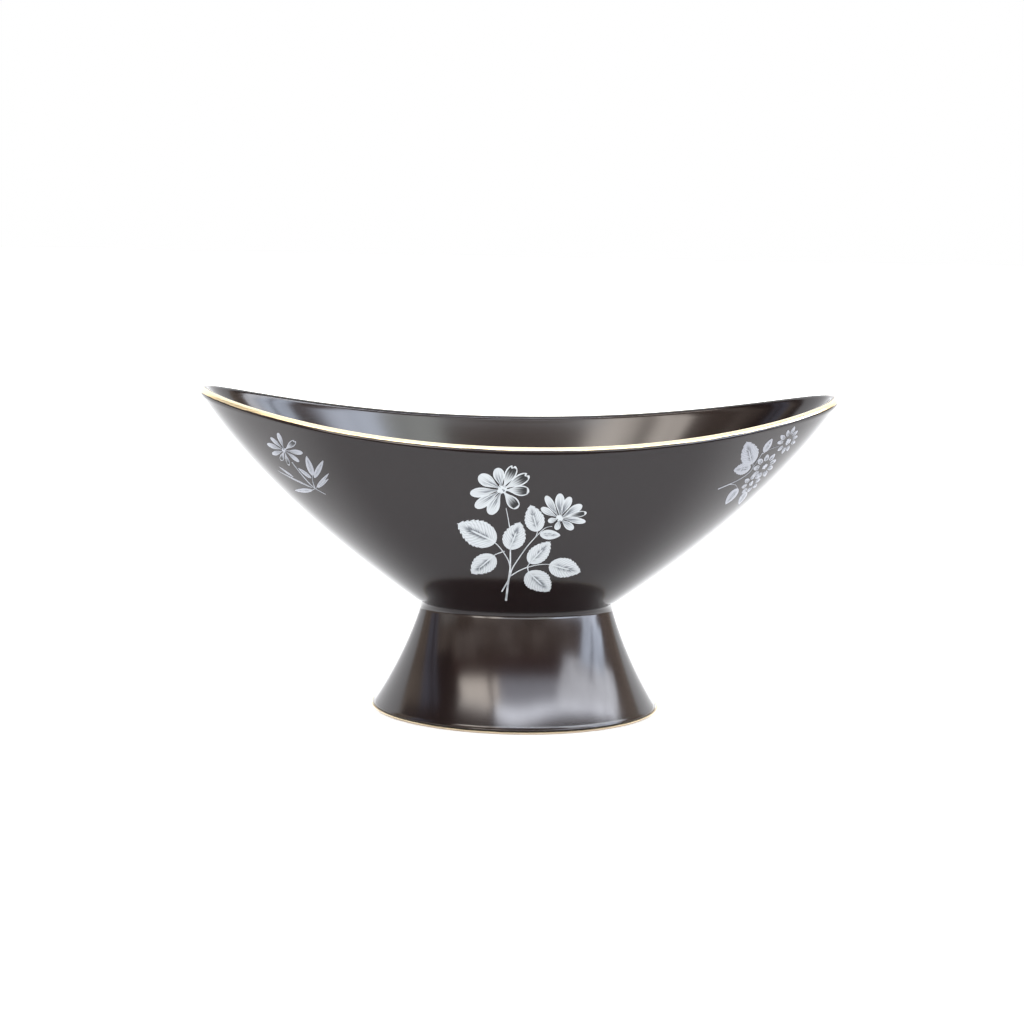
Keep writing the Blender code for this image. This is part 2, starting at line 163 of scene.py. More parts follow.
def lip_point(angle, turn, radius):
    """A point of the rounded lip. turn runs from 0 outside, over its top, to pi inside."""
    along, up, out = wall_axes(angle, 1.0)
    half = sizes().wall / 2
    centre = wall_point(angle, 1.0) - (out + up) * half
    return centre + out * (radius * math.cos(turn)) + up * (radius * math.sin(turn))


def foot_point(angle, drop, inset=0.0):
    """A point of the foot, inset from its outer face. drop runs from 0 at its top to 1 at its bottom edge."""
    s = sizes()
    spread = drop + s.foot_hollow * drop * (1 - drop)
    half_length = s.waist_half_length + (s.foot_half_length - s.waist_half_length) * spread - inset
    half_width = s.waist_half_width + (s.foot_half_width - s.waist_half_width) * spread - inset
    top = s.waist_height - MM
    bottom = s.standing_ring + 0.1 * MM
    return Vector((half_length * math.cos(angle), half_width * math.sin(angle), top + (bottom - top) * drop))


def oval_point(angle, half_length, half_width, height):
    return Vector((half_length * math.cos(angle), half_width * math.sin(angle), height))


# Modelling


def deselect_all():
    if bpy.context.mode != "OBJECT":
        bpy.ops.object.mode_set(mode="OBJECT")
    bpy.ops.object.select_all(action="DESELECT")


def drawn_out(name, sections, closed=False):
    """A circle drawn out by extrusion, one ring for each section, and pressed into the bowl's oval.

    A section gives a ring's point for an angle. closed joins the last ring to the first.
    """
    deselect_all()
    bpy.ops.mesh.primitive_circle_add(vertices=sizes().segments, radius=1.0, fill_type="NOTHING")
    piece = bpy.context.object
    piece.name = name
    piece.data.name = name
    bpy.ops.object.mode_set(mode="EDIT")
    bpy.ops.mesh.select_all(action="SELECT")
    rings = sections + sections[: int(closed)]
    for _ in rings[1:]:
        bpy.ops.mesh.extrude_region_move(TRANSFORM_OT_translate={"value": (0, 0, 1)})
    bpy.ops.object.mode_set(mode="OBJECT")
    for vert in piece.data.vertices:
        angle = math.atan2(vert.co.y, vert.co.x)
        vert.co = rings[round(vert.co.z)](angle)
    bpy.ops.object.mode_set(mode="EDIT")
    bpy.ops.mesh.select_all(action="SELECT")
    bpy.ops.mesh.remove_doubles(threshold=2e-6)
    bpy.ops.mesh.normals_make_consistent(inside=False)
    bpy.ops.object.mode_set(mode="OBJECT")
    return piece


def finish_piece(piece, material, slot, *nodes, smooth_below=40):
    """Shades a piece, gives it its finish, and puts it on the bowl in place of its CAD nodes."""
    deselect_all()
    piece.select_set(True)
    bpy.context.view_layer.objects.active = piece
    bpy.ops.object.shade_smooth_by_angle(angle=math.radians(smooth_below))
    if material is not None:
        piece.data.materials.clear()
        piece.data.materials.append(material)
    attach(piece, BODY)
    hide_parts(*nodes)
    return piece


def apply_solidify(piece, thickness, offset):
    deselect_all()
    piece.select_set(True)
    bpy.context.view_layer.objects.active = piece
    wall = piece.modifiers.new("thickness", "SOLIDIFY")
    wall.thickness = thickness
    wall.offset = offset
    wall.use_even_offset = True
    bpy.ops.object.modifier_apply(modifier=wall.name)


# Materials

SMOOTH = {"interpolation_type": "SMOOTHSTEP"}


def connect(tree, node, links):
    """Gives a node's inputs their values. Another node there stands for its own result."""
    for key, value in links.items():
        if isinstance(value, bpy.types.Node):
            value = next(output for output in value.outputs if output.enabled)
        if isinstance(value, bpy.types.NodeSocket):
            tree.links.new(value, node.inputs[key])
        else:
            node.inputs[key].default_value = value


def add_node(tree, kind, links=None, **settings):
    """Adds a node with its settings and links."""
    node = tree.nodes.new(kind)
    for name, value in settings.items():
        setattr(node, name, value)
    connect(tree, node, links or {})
    return node


def new_material(name):
    """A new material's node tree, its Principled shader, and the piece's Object coordinates."""
    material = bpy.data.materials.new(name)
    material.use_nodes = True
    tree = material.node_tree
    return tree, tree.nodes["Principled BSDF"], add_node(tree, "ShaderNodeTexCoord").outputs["Object"]


def rgba(value, strength=1.0):
    return (*[c * strength for c in value], 1.0)


def make_black_glaze():
    """Black glaze poured over earthenware and fired: a deep mirror, very slightly wavy."""
    tree, shader, place = new_material("black_glaze")
    base = colours().glaze
    # Patches of 33 mm, a little deeper or paler in colour
    tone = add_node(tree, "ShaderNodeTexNoise", {"Vector": place, "Scale": 30.0, "Detail": 3.0})
    shades = {6: rgba(base, 0.7), 7: rgba(base, 1.3)}
    depth = add_node(tree, "ShaderNodeMix", {0: tone, **shades}, data_type="RGBA")
    # Pinholes: pale specks about 0.6 mm wide, only a few on the whole bowl
    cells = add_node(tree, "ShaderNodeTexVoronoi", {"Vector": place, "Scale": 28.0})
    speck_reach = {"Value": cells, "From Min": 0.007, "From Max": 0.011, "To Min": 1.0, "To Max": 0.0}
    speck = add_node(tree, "ShaderNodeMapRange", speck_reach, **SMOOTH)
    cell_number = add_node(tree, "ShaderNodeSeparateColor", {"Color": cells.outputs["Color"]})
    few = add_node(
        tree, "ShaderNodeMapRange", {"Value": cell_number, "From Min": 0.8, "From Max": 0.82}, **SMOOTH
    )
    pinhole = add_node(tree, "ShaderNodeMath", {0: speck, 1: few}, operation="MULTIPLY")
    pale = rgba(linear("#B9B2A8"))
    black = add_node(tree, "ShaderNodeMix", {0: pinhole, 6: depth, 7: pale}, data_type="RGBA")
    # Waves of 18 mm and a fine ripple of 2 mm, only hundredths of a millimetre deep
    waves = add_node(tree, "ShaderNodeTexNoise", {"Vector": place, "Scale": 55.0, "Detail": 1.0})
    ripple = add_node(tree, "ShaderNodeTexNoise", {"Vector": place, "Scale": 420.0, "Detail": 1.0})
    height = add_node(tree, "ShaderNodeMath", {0: ripple, 1: 0.04, 2: waves}, operation="MULTIPLY_ADD")
    bump = add_node(tree, "ShaderNodeBump", {"Height": height, "Strength": 0.5, "Distance": 0.06 * MM})
    # Smears of 14 mm, a little less glossy
    smear = add_node(tree, "ShaderNodeTexNoise", {"Vector": place, "Scale": 70.0, "Detail": 4.0})
    gloss_reach = {"Value": smear, "From Min": 0.35, "From Max": 0.75, "To Min": 0.008, "To Max": 0.03}
    gloss = add_node(tree, "ShaderNodeMapRange", gloss_reach, **SMOOTH)
    connect(tree, shader, {"Base Color": black, "Normal": bump, "Roughness": gloss, "IOR": 1.53})


def make_gilding():
    """Bright gold brushed on by hand and fired at a low heat: pale, a little uneven and worn thin."""
    tree, shader, place = new_material("pale_gilding")
    base = colours().gilding
    warm = (base[0] * 0.9, base[1] * 0.8, base[2] * 0.62, 1.0)
    # Brush marks of 5 mm, and a grain of 1 mm
    brushed = add_node(tree, "ShaderNodeTexNoise", {"Vector": place, "Scale": 190.0, "Detail": 4.0})
    thick = add_node(
        tree, "ShaderNodeMapRange", {"Value": brushed, "From Min": 0.32, "From Max": 0.62}, **SMOOTH
    )
    gold = add_node(tree, "ShaderNodeMix", {0: thick, 6: warm, 7: rgba(base)}, data_type="RGBA")
    grain = add_node(tree, "ShaderNodeTexNoise", {"Vector": place, "Scale": 900.0, "Detail": 2.0})
    gloss_reach = {"Value": grain, "From Min": 0.3, "From Max": 0.7, "To Min": 0.2, "To Max": 0.36}
    gloss = add_node(tree, "ShaderNodeMapRange", gloss_reach, **SMOOTH)
    bump = add_node(tree, "ShaderNodeBump", {"Height": grain, "Strength": 0.3, "Distance": 0.02 * MM})
    connect(tree, shader, {"Base Color": gold, "Roughness": gloss, "Normal": bump, "Metallic": 1.0})


def make_bare_clay():
    """Unglazed earthenware, wiped clean before firing: matt, sandy and slightly soiled."""
    tree, shader, place = new_material("bare_clay")
    base = colours().clay
    # Sand of 0.7 mm, and soiled patches of 8 mm
    sand = add_node(tree, "ShaderNodeTexNoise", {"Vector": place, "Scale": 1400.0, "Detail": 3.0})
    soil = add_node(tree, "ShaderNodeTexNoise", {"Vector": place, "Scale": 120.0, "Detail": 3.0})
    pale = rgba([min(1, c * 1.25) for c in base])
    grit = add_node(tree, "ShaderNodeMix", {0: sand, 6: rgba(base, 0.7), 7: pale}, data_type="RGBA")
    soiled = add_node(
        tree, "ShaderNodeMapRange", {"Value": soil, "From Min": 0.45, "From Max": 0.75}, **SMOOTH
    )
    clay = add_node(tree, "ShaderNodeMix", {0: soiled, 6: grit, 7: rgba(base, 0.5)}, data_type="RGBA")
    bump = add_node(tree, "ShaderNodeBump", {"Height": sand, "Strength": 0.6, "Distance": 0.05 * MM})
    connect(tree, shader, {"Base Color": clay, "Normal": bump, "Roughness": 0.85})


def new_enamel(name):
    """White overglaze enamel, painted on and fired at a low heat: satin, with a faint grain of 0.6 mm."""
    tree, shader, place = new_material(name)
    grain = add_node(tree, "ShaderNodeTexNoise", {"Vector": place, "Scale": 1600.0, "Detail": 2.0})
    bump = add_node(tree, "ShaderNodeBump", {"Height": grain, "Strength": 0.25, "Distance": 0.03 * MM})
    connect(tree, shader, {"Normal": bump, "Roughness": 0.42, "IOR": 1.5})
    return tree, shader, place


def patch_axes(tree):
    """A point's place in its patch's own UV map: along, across, and from 0 in the middle to 1 at an edge."""
    uv = add_node(tree, "ShaderNodeTexCoord").outputs["UV"]
    axes = add_node(tree, "ShaderNodeSeparateXYZ", {"Vector": uv}).outputs
    sides = add_node(tree, "ShaderNodeMath", {0: axes["Y"], 1: 2.0, 2: -1.0}, operation="MULTIPLY_ADD")
    edge = add_node(tree, "ShaderNodeMath", {0: sides}, operation="ABSOLUTE")
    return axes["X"], axes["Y"], edge


def patch_noise(tree, place, along, across, length_scale, width_scale):
    """Noise in a patch's UV map, which differs from one patch to the next by its place on the bowl."""
    axes = add_node(tree, "ShaderNodeSeparateXYZ", {"Vector": place}).outputs
    shift = add_node(tree, "ShaderNodeMath", {0: axes["X"], 1: axes["Z"]}, operation="ADD")
    spot = add_node(tree, "ShaderNodeCombineXYZ", {"X": along, "Y": across, "Z": shift})
    scales = (length_scale, width_scale, 60.0)
    where = add_node(tree, "ShaderNodeVectorMath", {0: spot, 1: scales}, operation="MULTIPLY")
    return add_node(tree, "ShaderNodeTexNoise", {"Vector": where, "Scale": 1.0, "Detail": 3.0})


def make_full_petal_enamel(coat, white, shade):
    """A petal filled with white, with grey brush streaks that fade from its base."""
    tree, shader, place = new_enamel(f"{coat}_enamel_full_petal")
    along, across, edge = patch_axes(tree)
    brush = patch_noise(tree, place, along, across, 1.2, 9.0)
    streaks = add_node(
        tree, "ShaderNodeMapRange", {"Value": brush, "From Min": 0.4, "From Max": 0.56}, **SMOOTH
    )
    fade_reach = {"Value": along, "From Min": 0.3, "From Max": 0.9, "To Min": 1.0, "To Max": 0.12}
    fade = add_node(tree, "ShaderNodeMapRange", fade_reach, **SMOOTH)
    inside_reach = {"Value": edge, "From Min": 0.6, "From Max": 0.9, "To Min": 1.0, "To Max": 0.1}
    inside = add_node(tree, "ShaderNodeMapRange", inside_reach, **SMOOTH)
    faded = add_node(tree, "ShaderNodeMath", {0: streaks, 1: fade}, operation="MULTIPLY")
    share = add_node(tree, "ShaderNodeMath", {0: faded, 1: inside}, operation="MULTIPLY")
    petal = add_node(tree, "ShaderNodeMix", {0: share, 6: white, 7: shade}, data_type="RGBA")
    connect(tree, shader, {"Base Color": petal})


def make_outlined_petal_enamel(coat, white, wash):
    """A petal drawn as a white outline, white at its base and washed out to the black glaze inside."""
    tree, shader, place = new_enamel(f"{coat}_enamel_outlined_petal")
    along, across, edge = patch_axes(tree)
    sides = add_node(tree, "ShaderNodeMapRange", {"Value": edge, "From Min": 0.7, "From Max": 0.82}, **SMOOTH)
    end = add_node(tree, "ShaderNodeMapRange", {"Value": along, "From Min": 0.9, "From Max": 0.95}, **SMOOTH)
    outline = add_node(tree, "ShaderNodeMath", {0: sides, 1: end}, operation="MAXIMUM")
    brush = patch_noise(tree, place, along, across, 1.2, 12.0)
    reach = add_node(tree, "ShaderNodeMath", {0: brush, 1: 0.8, 2: along}, operation="MULTIPLY_ADD")
    base_reach = {"Value": reach, "From Min": 0.66, "From Max": 1.2, "To Min": 0.95, "To Max": 0.0}
    base_white = add_node(tree, "ShaderNodeMapRange", base_reach, **SMOOTH)
    share = add_node(tree, "ShaderNodeMath", {0: outline, 1: base_white}, operation="MAXIMUM")
    petal = add_node(tree, "ShaderNodeMix", {0: share, 6: wash, 7: white}, data_type="RGBA")
    connect(tree, shader, {"Base Color": petal})


def make_leaf_enamel(coat, white, shade):
    """A leaf in white, with hatched side veins, a dark feathered middle and a white vein along it."""
    tree, shader, place = new_enamel(f"{coat}_enamel_leaf")
    along, across, edge = patch_axes(tree)
    # Side veins: about 11 to a leaf, leaning towards its tip
    turns = add_node(tree, "ShaderNodeMath", {0: along, 1: 70.0}, operation="MULTIPLY")
    lean = add_node(tree, "ShaderNodeMath", {0: edge, 1: -22.0, 2: turns}, operation="MULTIPLY_ADD")
    veins = add_node(tree, "ShaderNodeMath", {0: lean}, operation="SINE")
    hatching = add_node(tree, "ShaderNodeMapRange", {"Value": veins, "To Max": 0.34}, **SMOOTH)
    feathers = patch_noise(tree, place, lean, across, 0.35, 2.5)
    spread = add_node(tree, "ShaderNodeMath", {0: feathers, 1: 1.1, 2: edge}, operation="MULTIPLY_ADD")
    # Each stretch fades one way: where it is read, from and to, and its strength before and after
    stretches = {
        "feathered": (spread, 0.52, 0.98, 1.0, 0.0),
        "past_base": (along, 0.04, 0.3, 0.0, 1.0),
        "before_tip": (along, 0.66, 0.95, 1.0, 0.0),
        "on_midrib": (edge, 0.04, 0.09, 1.0, 0.0),
        "midrib_end": (along, 0.56, 0.7, 1.0, 0.0),
    }
    fades = {}
    for name, (value, start, end, before, after) in stretches.items():
        reach = {"Value": value, "From Min": start, "From Max": end, "To Min": before, "To Max": after}
        fades[name] = add_node(tree, "ShaderNodeMapRange", reach, **SMOOTH)
    middle = add_node(
        tree, "ShaderNodeMath", {0: fades["past_base"], 1: fades["before_tip"]}, operation="MULTIPLY"
    )
    feather = add_node(tree, "ShaderNodeMath", {0: fades["feathered"], 1: middle}, operation="MULTIPLY")
    dark = add_node(tree, "ShaderNodeMath", {0: feather, 1: hatching}, operation="MAXIMUM")
    midrib = add_node(
        tree, "ShaderNodeMath", {0: fades["on_midrib"], 1: fades["midrib_end"]}, operation="MULTIPLY"
    )
    off_midrib = add_node(tree, "ShaderNodeMath", {0: 1.0, 1: midrib}, operation="SUBTRACT")
    share = add_node(tree, "ShaderNodeMath", {0: dark, 1: off_midrib}, operation="MULTIPLY")
    leaf = add_node(tree, "ShaderNodeMix", {0: share, 6: white, 7: shade}, data_type="RGBA")
    connect(tree, shader, {"Base Color": leaf})


def make_stem_enamel(coat, white, shade):
    """A single loaded brush line: white where thick, greyer where the brush ran dry every few millimetres."""
    tree, shader, place = new_enamel(f"{coat}_enamel_stem")
    brush = add_node(tree, "ShaderNodeTexNoise", {"Vector": place, "Scale": 260.0, "Detail": 3.0})
    dry_reach = {"Value": brush, "From Min": 0.4, "From Max": 0.75, "To Min": 0.05, "To Max": 0.7}
    dry = add_node(tree, "ShaderNodeMapRange", dry_reach, **SMOOTH)
    line = add_node(tree, "ShaderNodeMix", {0: dry, 6: white, 7: shade}, data_type="RGBA")
    connect(tree, shader, {"Base Color": line})


def make_eye_enamel(coat, white, shade):
    """A bloom's eye: white, stippled with grey dots up to 1 mm wide."""
    tree, shader, place = new_enamel(f"{coat}_enamel_eye")
    cells = add_node(tree, "ShaderNodeTexVoronoi", {"Vector": place, "Scale": 800.0})
    dot_reach = {"Value": cells, "From Min": 0.22, "From Max": 0.42, "To Min": 0.9, "To Max": 0.0}
    dots = add_node(tree, "ShaderNodeMapRange", dot_reach, **SMOOTH)
    eye = add_node(tree, "ShaderNodeMix", {0: dots, 6: white, 7: shade}, data_type="RGBA")
    connect(tree, shader, {"Base Color": eye})


# Sprays: drawn flat, in millimetres (across, up) from an anchor on the wall.
# Petals: reach, angle in degrees, width, kind. Leaves: base, tip, width, teeth. Stems: width, points.

FULL = "full"
OUTLINED = "outlined"
NOTCHED = "notched"
OVAL = "oval"

FRONT_SPRAY = {
    "anchor": (-93.5, 0.41),
    "enamel": "thick",
    "blooms": {
        "large_bloom": {
            "centre": (-5.1, 28.1),
            "eye": 2.0,
            "petals": [
                (12.8, 189.5, 4.3, FULL),
                (10.9, 149.6, 5.4, FULL),
                (9.3, 103.0, 4.7, FULL),
                (11.2, 65.0, 4.8, NOTCHED),
                (12.3, 31.0, 4.9, NOTCHED),
                (10.8, -2.0, 4.6, OUTLINED),
                (10.0, -50.0, 4.8, OUTLINED),
                (11.6, -114.0, 5.0, FULL),
                (13.1, 217.0, 4.6, FULL),
            ],
        },
        "small_bloom": {
            "centre": (19.3, 15.3),
            "eye": 1.4,
            "petals": [
                (8.8, 148.0, 2.9, FULL),
                (11.3, 121.0, 3.1, FULL),
                (10.6, 91.0, 3.9, FULL),
                (9.9, 65.5, 3.5, FULL),
                (10.3, 31.0, 3.7, FULL),
                (11.0, 10.0, 2.7, OUTLINED),
                (10.8, -11.0, 2.7, FULL),
                (7.7, -42.0, 3.2, FULL),
                (5.2, -100.0, 2.6, FULL),
                (4.7, 195.0, 2.4, FULL),
            ],
        },
    },
    "leaves": [
        ((-7.0, 4.2), (-23.4, 11.9), 13.4, 6),
        ((-7.5, -2.6), (-16.9, -13.2), 10.0, 4),
        ((-1.2, 0.7), (2.9, 13.9), 10.0, 4),
        ((10.4, 9.4), (6.9, 21.6), 8.6, 4),
        ((11.3, 8.2), (20.0, 7.3), 4.6, 0),
        ((7.4, -6.2), (15.9, 4.6), 8.8, 5),
        ((16.0, -7.0), (29.6, -12.4), 11.0, 6),
        ((7.1, -10.8), (16.7, -22.5), 11.2, 7),
    ],
    "stems": [
        (0.95, [(-1.7, -28.0), (-1.2, -18.0), (-0.6, -8.7), (-0.8, 0.0), (-0.6, 2.0)]),
        (0.55, [(-0.6, -8.0), (-1.8, -4.2), (-4.6, 0.6), (-8.0, 4.2), (-15.6, 8.2)]),
        (0.45, [(-3.2, -0.2), (-7.5, -2.4), (-11.4, -6.6), (-14.2, -10.8)]),
        (
            0.6,
            [(-3.7, -22.5), (-0.8, -14.5), (0.6, -8.4), (5.5, 1.1), (9.6, 6.8), (13.4, 10.9), (16.4, 11.7)],
        ),
        (0.45, [(9.6, 6.8), (10.2, 9.4), (9.2, 14.2)]),
        (0.45, [(-0.8, 1.0), (0.2, 5.0), (1.6, 9.4)]),
        (0.55, [(0.0, -12.9), (3.0, -10.4), (6.7, -8.4), (12.0, -7.0), (17.2, -7.3), (24.4, -9.6)]),
        (0.45, [(6.6, -8.2), (8.4, -4.6), (12.2, 0.6)]),
        (0.45, [(6.8, -8.6), (7.6, -11.4), (11.0, -16.2)]),
        (0.45, [(-1.4, 11.0), (-2.2, 15.4), (-3.2, 20.0)]),
    ],
}
LEFT_SPRAY = {
    "anchor": (-142.6, 0.713),
    "enamel": "thin",
    "blooms": {
        "bloom": {
            "centre": (-5.3, 10.6),
            "eye": 1.2,
            "petals": [
                (8.0, 98.0, 2.2, FULL),
                (7.5, 135.0, 2.1, FULL),
                (8.3, 168.0, 2.5, FULL),
                (7.6, 204.0, 2.1, FULL),
                (6.4, 240.0, 2.1, OUTLINED),
                (7.4, 272.0, 1.8, OUTLINED),
                (7.6, 321.0, 2.2, FULL),
                (8.6, 357.0, 2.4, FULL),
                (8.0, 37.0, 2.6, NOTCHED),
            ],
        },
    },
    "leaves": [
        ((6.0, -0.9), (5.1, 8.6), 3.2, 0),
        ((4.9, -2.2), (-0.5, 2.2), 2.1, 0),
        ((6.5, -1.9), (12.7, 6.9), 2.3, 0),
        ((6.4, -6.8), (14.0, 0.8), 1.5, 0),
        ((7.0, -6.9), (13.4, -1.8), 1.2, 0),
        ((3.6, -8.6), (-7.2, -11.5), 2.3, 0),
        ((4.0, -7.4), (-13.3, -1.6), 1.0, 0),
        ((-4.7, -3.2), (-11.2, 1.0), 1.3, 0),
    ],
    "stems": [
        (0.7, [(-2.9, 4.9), (1.2, -2.4), (4.9, -7.1), (9.9, -10.0)]),
        (0.5, [(5.3, -7.4), (5.2, -3.6), (6.0, -0.6)]),
        (0.4, [(3.5, -8.6), (4.6, -8.0), (5.4, -7.5)]),
        (0.4, [(5.4, -7.5), (6.0, -7.2), (7.0, -6.5)]),
    ],
}
RIGHT_SPRAY = {
    "anchor": (-35.4, 0.747),
    "enamel": "thin",
    "blooms": {
        "upper_bloom": {
            "centre": (11.9, 13.6),
            "eye": 1.5,
            "petals": [
                (7.2, 85.0, 2.0, OVAL),
                (6.3, 115.0, 1.9, OVAL),
                (6.6, 149.0, 2.1, OVAL),
                (6.2, 178.0, 2.0, OVAL),
                (5.8, 226.0, 2.0, OVAL),
                (6.1, 266.0, 2.0, OVAL),
                (5.8, 298.0, 1.9, OVAL),
                (5.5, 344.0, 2.0, OVAL),
                (5.4, 20.0, 1.9, OVAL),
                (6.0, 54.0, 2.0, OVAL),
            ],
        },
        "middle_bloom": {
            "centre": (3.4, 1.7),
            "eye": 1.4,
            "petals": [(6.2 + 0.5 * (number % 2), 22.0 + 40.0 * number, 2.6, OVAL) for number in range(9)],
        },
        "lower_bloom": {
            "centre": (-0.3, -6.9),
            "eye": 1.2,
            "petals": [(5.0 + 0.5 * (number % 2), 15.0 + 45.0 * number, 2.4, OVAL) for number in range(8)],
        },
    },
    "leaves": [
        ((-5.0, 3.7), (-11.6, 14.9), 9.2, 3),
        ((-0.6, 9.4), (1.6, 16.0), 3.8, 0),
        ((-5.0, 2.2), (-13.9, 1.1), 6.4, 4),
        ((-7.5, -8.5), (-10.5, -16.9), 5.4, 0),
        ((-1.1, -11.3), (-0.7, -19.2), 4.6, 3),
    ],
    "stems": [
        (0.6, [(-18.6, -8.2), (-9.0, -3.8), (-4.5, -0.2), (-3.0, 3.8), (-1.1, 9.2)]),
        (0.4, [(-13.2, -6.0), (-10.0, -6.4), (-7.5, -8.7)]),
        (0.4, [(-1.3, 8.6), (2.6, 10.8), (7.2, 11.8)]),
        (0.4, [(-3.8, 1.6), (-4.2, 3.4), (-7.2, 7.8)]),
    ],
}


def turned(x, y, angle):
    return (x * math.cos(angle) - y * math.sin(angle), x * math.sin(angle) + y * math.cos(angle))


def petal_place(centre, reach, degrees, width, kind):
    """Where a petal's UV point lies in the drawing: u from the eye to the tip, v across."""
    start = 0.5 * reach if kind == OVAL else 0.1 * reach

    def place(u, v):
        side = 2 * v - 1
        if kind == OVAL:
            half = width / 2 * math.sin(math.pi * (0.14 + 0.74 * u)) ** 0.8
            run = start + (reach - start) * u
        else:
            half = width / 2 * (0.12 + 0.88 * math.sin(math.pi / 2 * min(1.0, u / 0.7)) ** 2)
            if u > 0.7:
                half *= math.sqrt(max(0.0, 1 - ((u - 0.7) / 0.36) ** 2))
            run = start + (reach - start) * u
        if kind == NOTCHED and u > 0.6:
            dip = math.exp(-(((side - 0.3) / 0.26) ** 2))
            run -= 0.1 * reach * dip * ((u - 0.6) / 0.4) ** 2
        run += 0.05 * reach * (1 - side * side) * u**4
        x, y = turned(run, side * half, math.radians(degrees))
        return centre[0] + x, centre[1] + y

    return place


def leaf_place(base, tip, width, teeth):
    """A pointed leaf, broadest nearer its base, its edge cut into teeth that lean to the tip."""
    run = Vector(tip) - Vector(base)
    turn = math.atan2(run.y, run.x)

    def place(u, v):
        side = 2 * v - 1
        half = width / 2 * (0.03 + 0.97 * math.sin(math.pi * u**0.82) ** 0.72) if 0 < u < 1 else width * 0.015
        if teeth and 0.08 < u < 0.98:
            step = (u * (teeth + 4)) % 1.0
            half -= width * (0.02 + 0.07 * u) * step * min(1.0, (u - 0.08) * 5)
        x, y = turned(run.length * u, side * half, turn)
        return base[0] + x, base[1] + y

    return place


def stem_place(width, points):
    """A brush line along a smooth curve, tapering to its end."""
    ends = [Vector(point) for point in (points[0], *points, points[-1])]
    spans = len(points) - 1

    def middle(u):
        span = min(int(u * spans), spans - 1)
        t = u * spans - span
        before, here, after, beyond = ends[span : span + 4]
        bend = 2 * before - 5 * here + 4 * after - beyond
        twist = 3 * here - before - 3 * after + beyond
        return (2 * here + (after - before) * t + bend * t**2 + twist * t**3) / 2

    def place(u, v):
        spot = middle(u)
        run = (middle(min(1.0, u + 0.01)) - middle(max(0.0, u - 0.01))).normalized()
        half = width / 2 * (1 - 0.55 * u) * (2 * v - 1)
        return spot.x - run.y * half, spot.y + run.x * half

    return place


def eye_place(centre, radius):
    """A small uneven disc: the square of the UV map rounded off."""

    def place(u, v):
        x, y = 2 * u - 1, 2 * v - 1
        across = x * math.sqrt(1 - y * y / 2)
        up = y * math.sqrt(1 - x * x / 2)
        reach = radius * (1 + 0.45 * noise.noise(Vector((across * 1.6, up * 1.6, centre[0]))))
        return centre[0] + reach * across, centre[1] + reach * up

    return place


def outer_wall_tree():
    """The glazed bowl's mesh, to lay the painted enamel on."""
    bowl = bpy.data.objects.get("glazed_bowl")
    if bowl is None:
        raise RuntimeError("make the glazed bowl before its enamel sprays")
    points = [vert.co for vert in bowl.data.vertices]
    return BVHTree.FromPolygons(points, [face.vertices[:] for face in bowl.data.polygons])


def painted_patch(wall, anchor, place, steps, layer, material):
    """A thin domed patch of enamel: a grid shaped in the drawing, then laid straight onto the wall."""
    angle, rise = math.radians(anchor[0]), anchor[1]
    origin = wall_point(angle, rise)
    along, up, out = wall_axes(angle, rise)
    level = Vector((along.x, along.y, 0)).normalized()
    up = out.cross(level)
    deselect_all()
    bpy.ops.mesh.primitive_grid_add(x_subdivisions=steps[0], y_subdivisions=steps[1], size=1.0)
    patch = bpy.context.object
    thick = sizes().enamel
    for vert in patch.data.vertices:
        u, v = vert.co.x + 0.5, vert.co.y + 0.5
        x, y = place(u, v)
        start = origin + (level * x + up * y) * MM + out * 20 * MM
        spot, normal, _, _ = wall.ray_cast(start, -out)
        if spot is None:
            raise RuntimeError("a painted patch runs off the wall")
        dome = (1 - (2 * v - 1) ** 4) * (1 - (2 * u - 1) ** 8)
        vert.co = spot + normal * (thick * (0.2 + 0.55 * dome) + layer * 0.012 * MM)
    face = patch.data.polygons[len(patch.data.polygons) // 2]
    if face.normal.dot(out) < 0:
        bpy.ops.object.mode_set(mode="EDIT")
        bpy.ops.mesh.select_all(action="SELECT")
        bpy.ops.mesh.flip_normals()
        bpy.ops.object.mode_set(mode="OBJECT")
    patch.data.materials.append(material)
    return patch


def joined(name, patches):
    """The patches as one piece, each given a thickness that reaches into the glaze."""
    deselect_all()
    for patch in patches:
        patch.select_set(True)
    bpy.context.view_layer.objects.active = patches[0]
    bpy.ops.object.join()
    piece = bpy.context.object
    piece.name = name
    piece.data.name = name
    bpy.ops.object.transform_apply(location=True, rotation=True, scale=True)
    apply_solidify(piece, sizes().enamel, -1.0)
    return piece


def copied_to_back(piece, name):
    """The same piece on the back of the bowl, with its own mesh, half a turn round."""
    deselect_all()
    piece.select_set(True)
    bpy.context.view_layer.objects.active = piece
    bpy.ops.object.duplicate(linked=False)
    copy = bpy.context.object
    copy.name = name
    copy.data.name = name
    copy.data.transform(Matrix.Rotation(math.pi, 4, "Z"))
    return copy


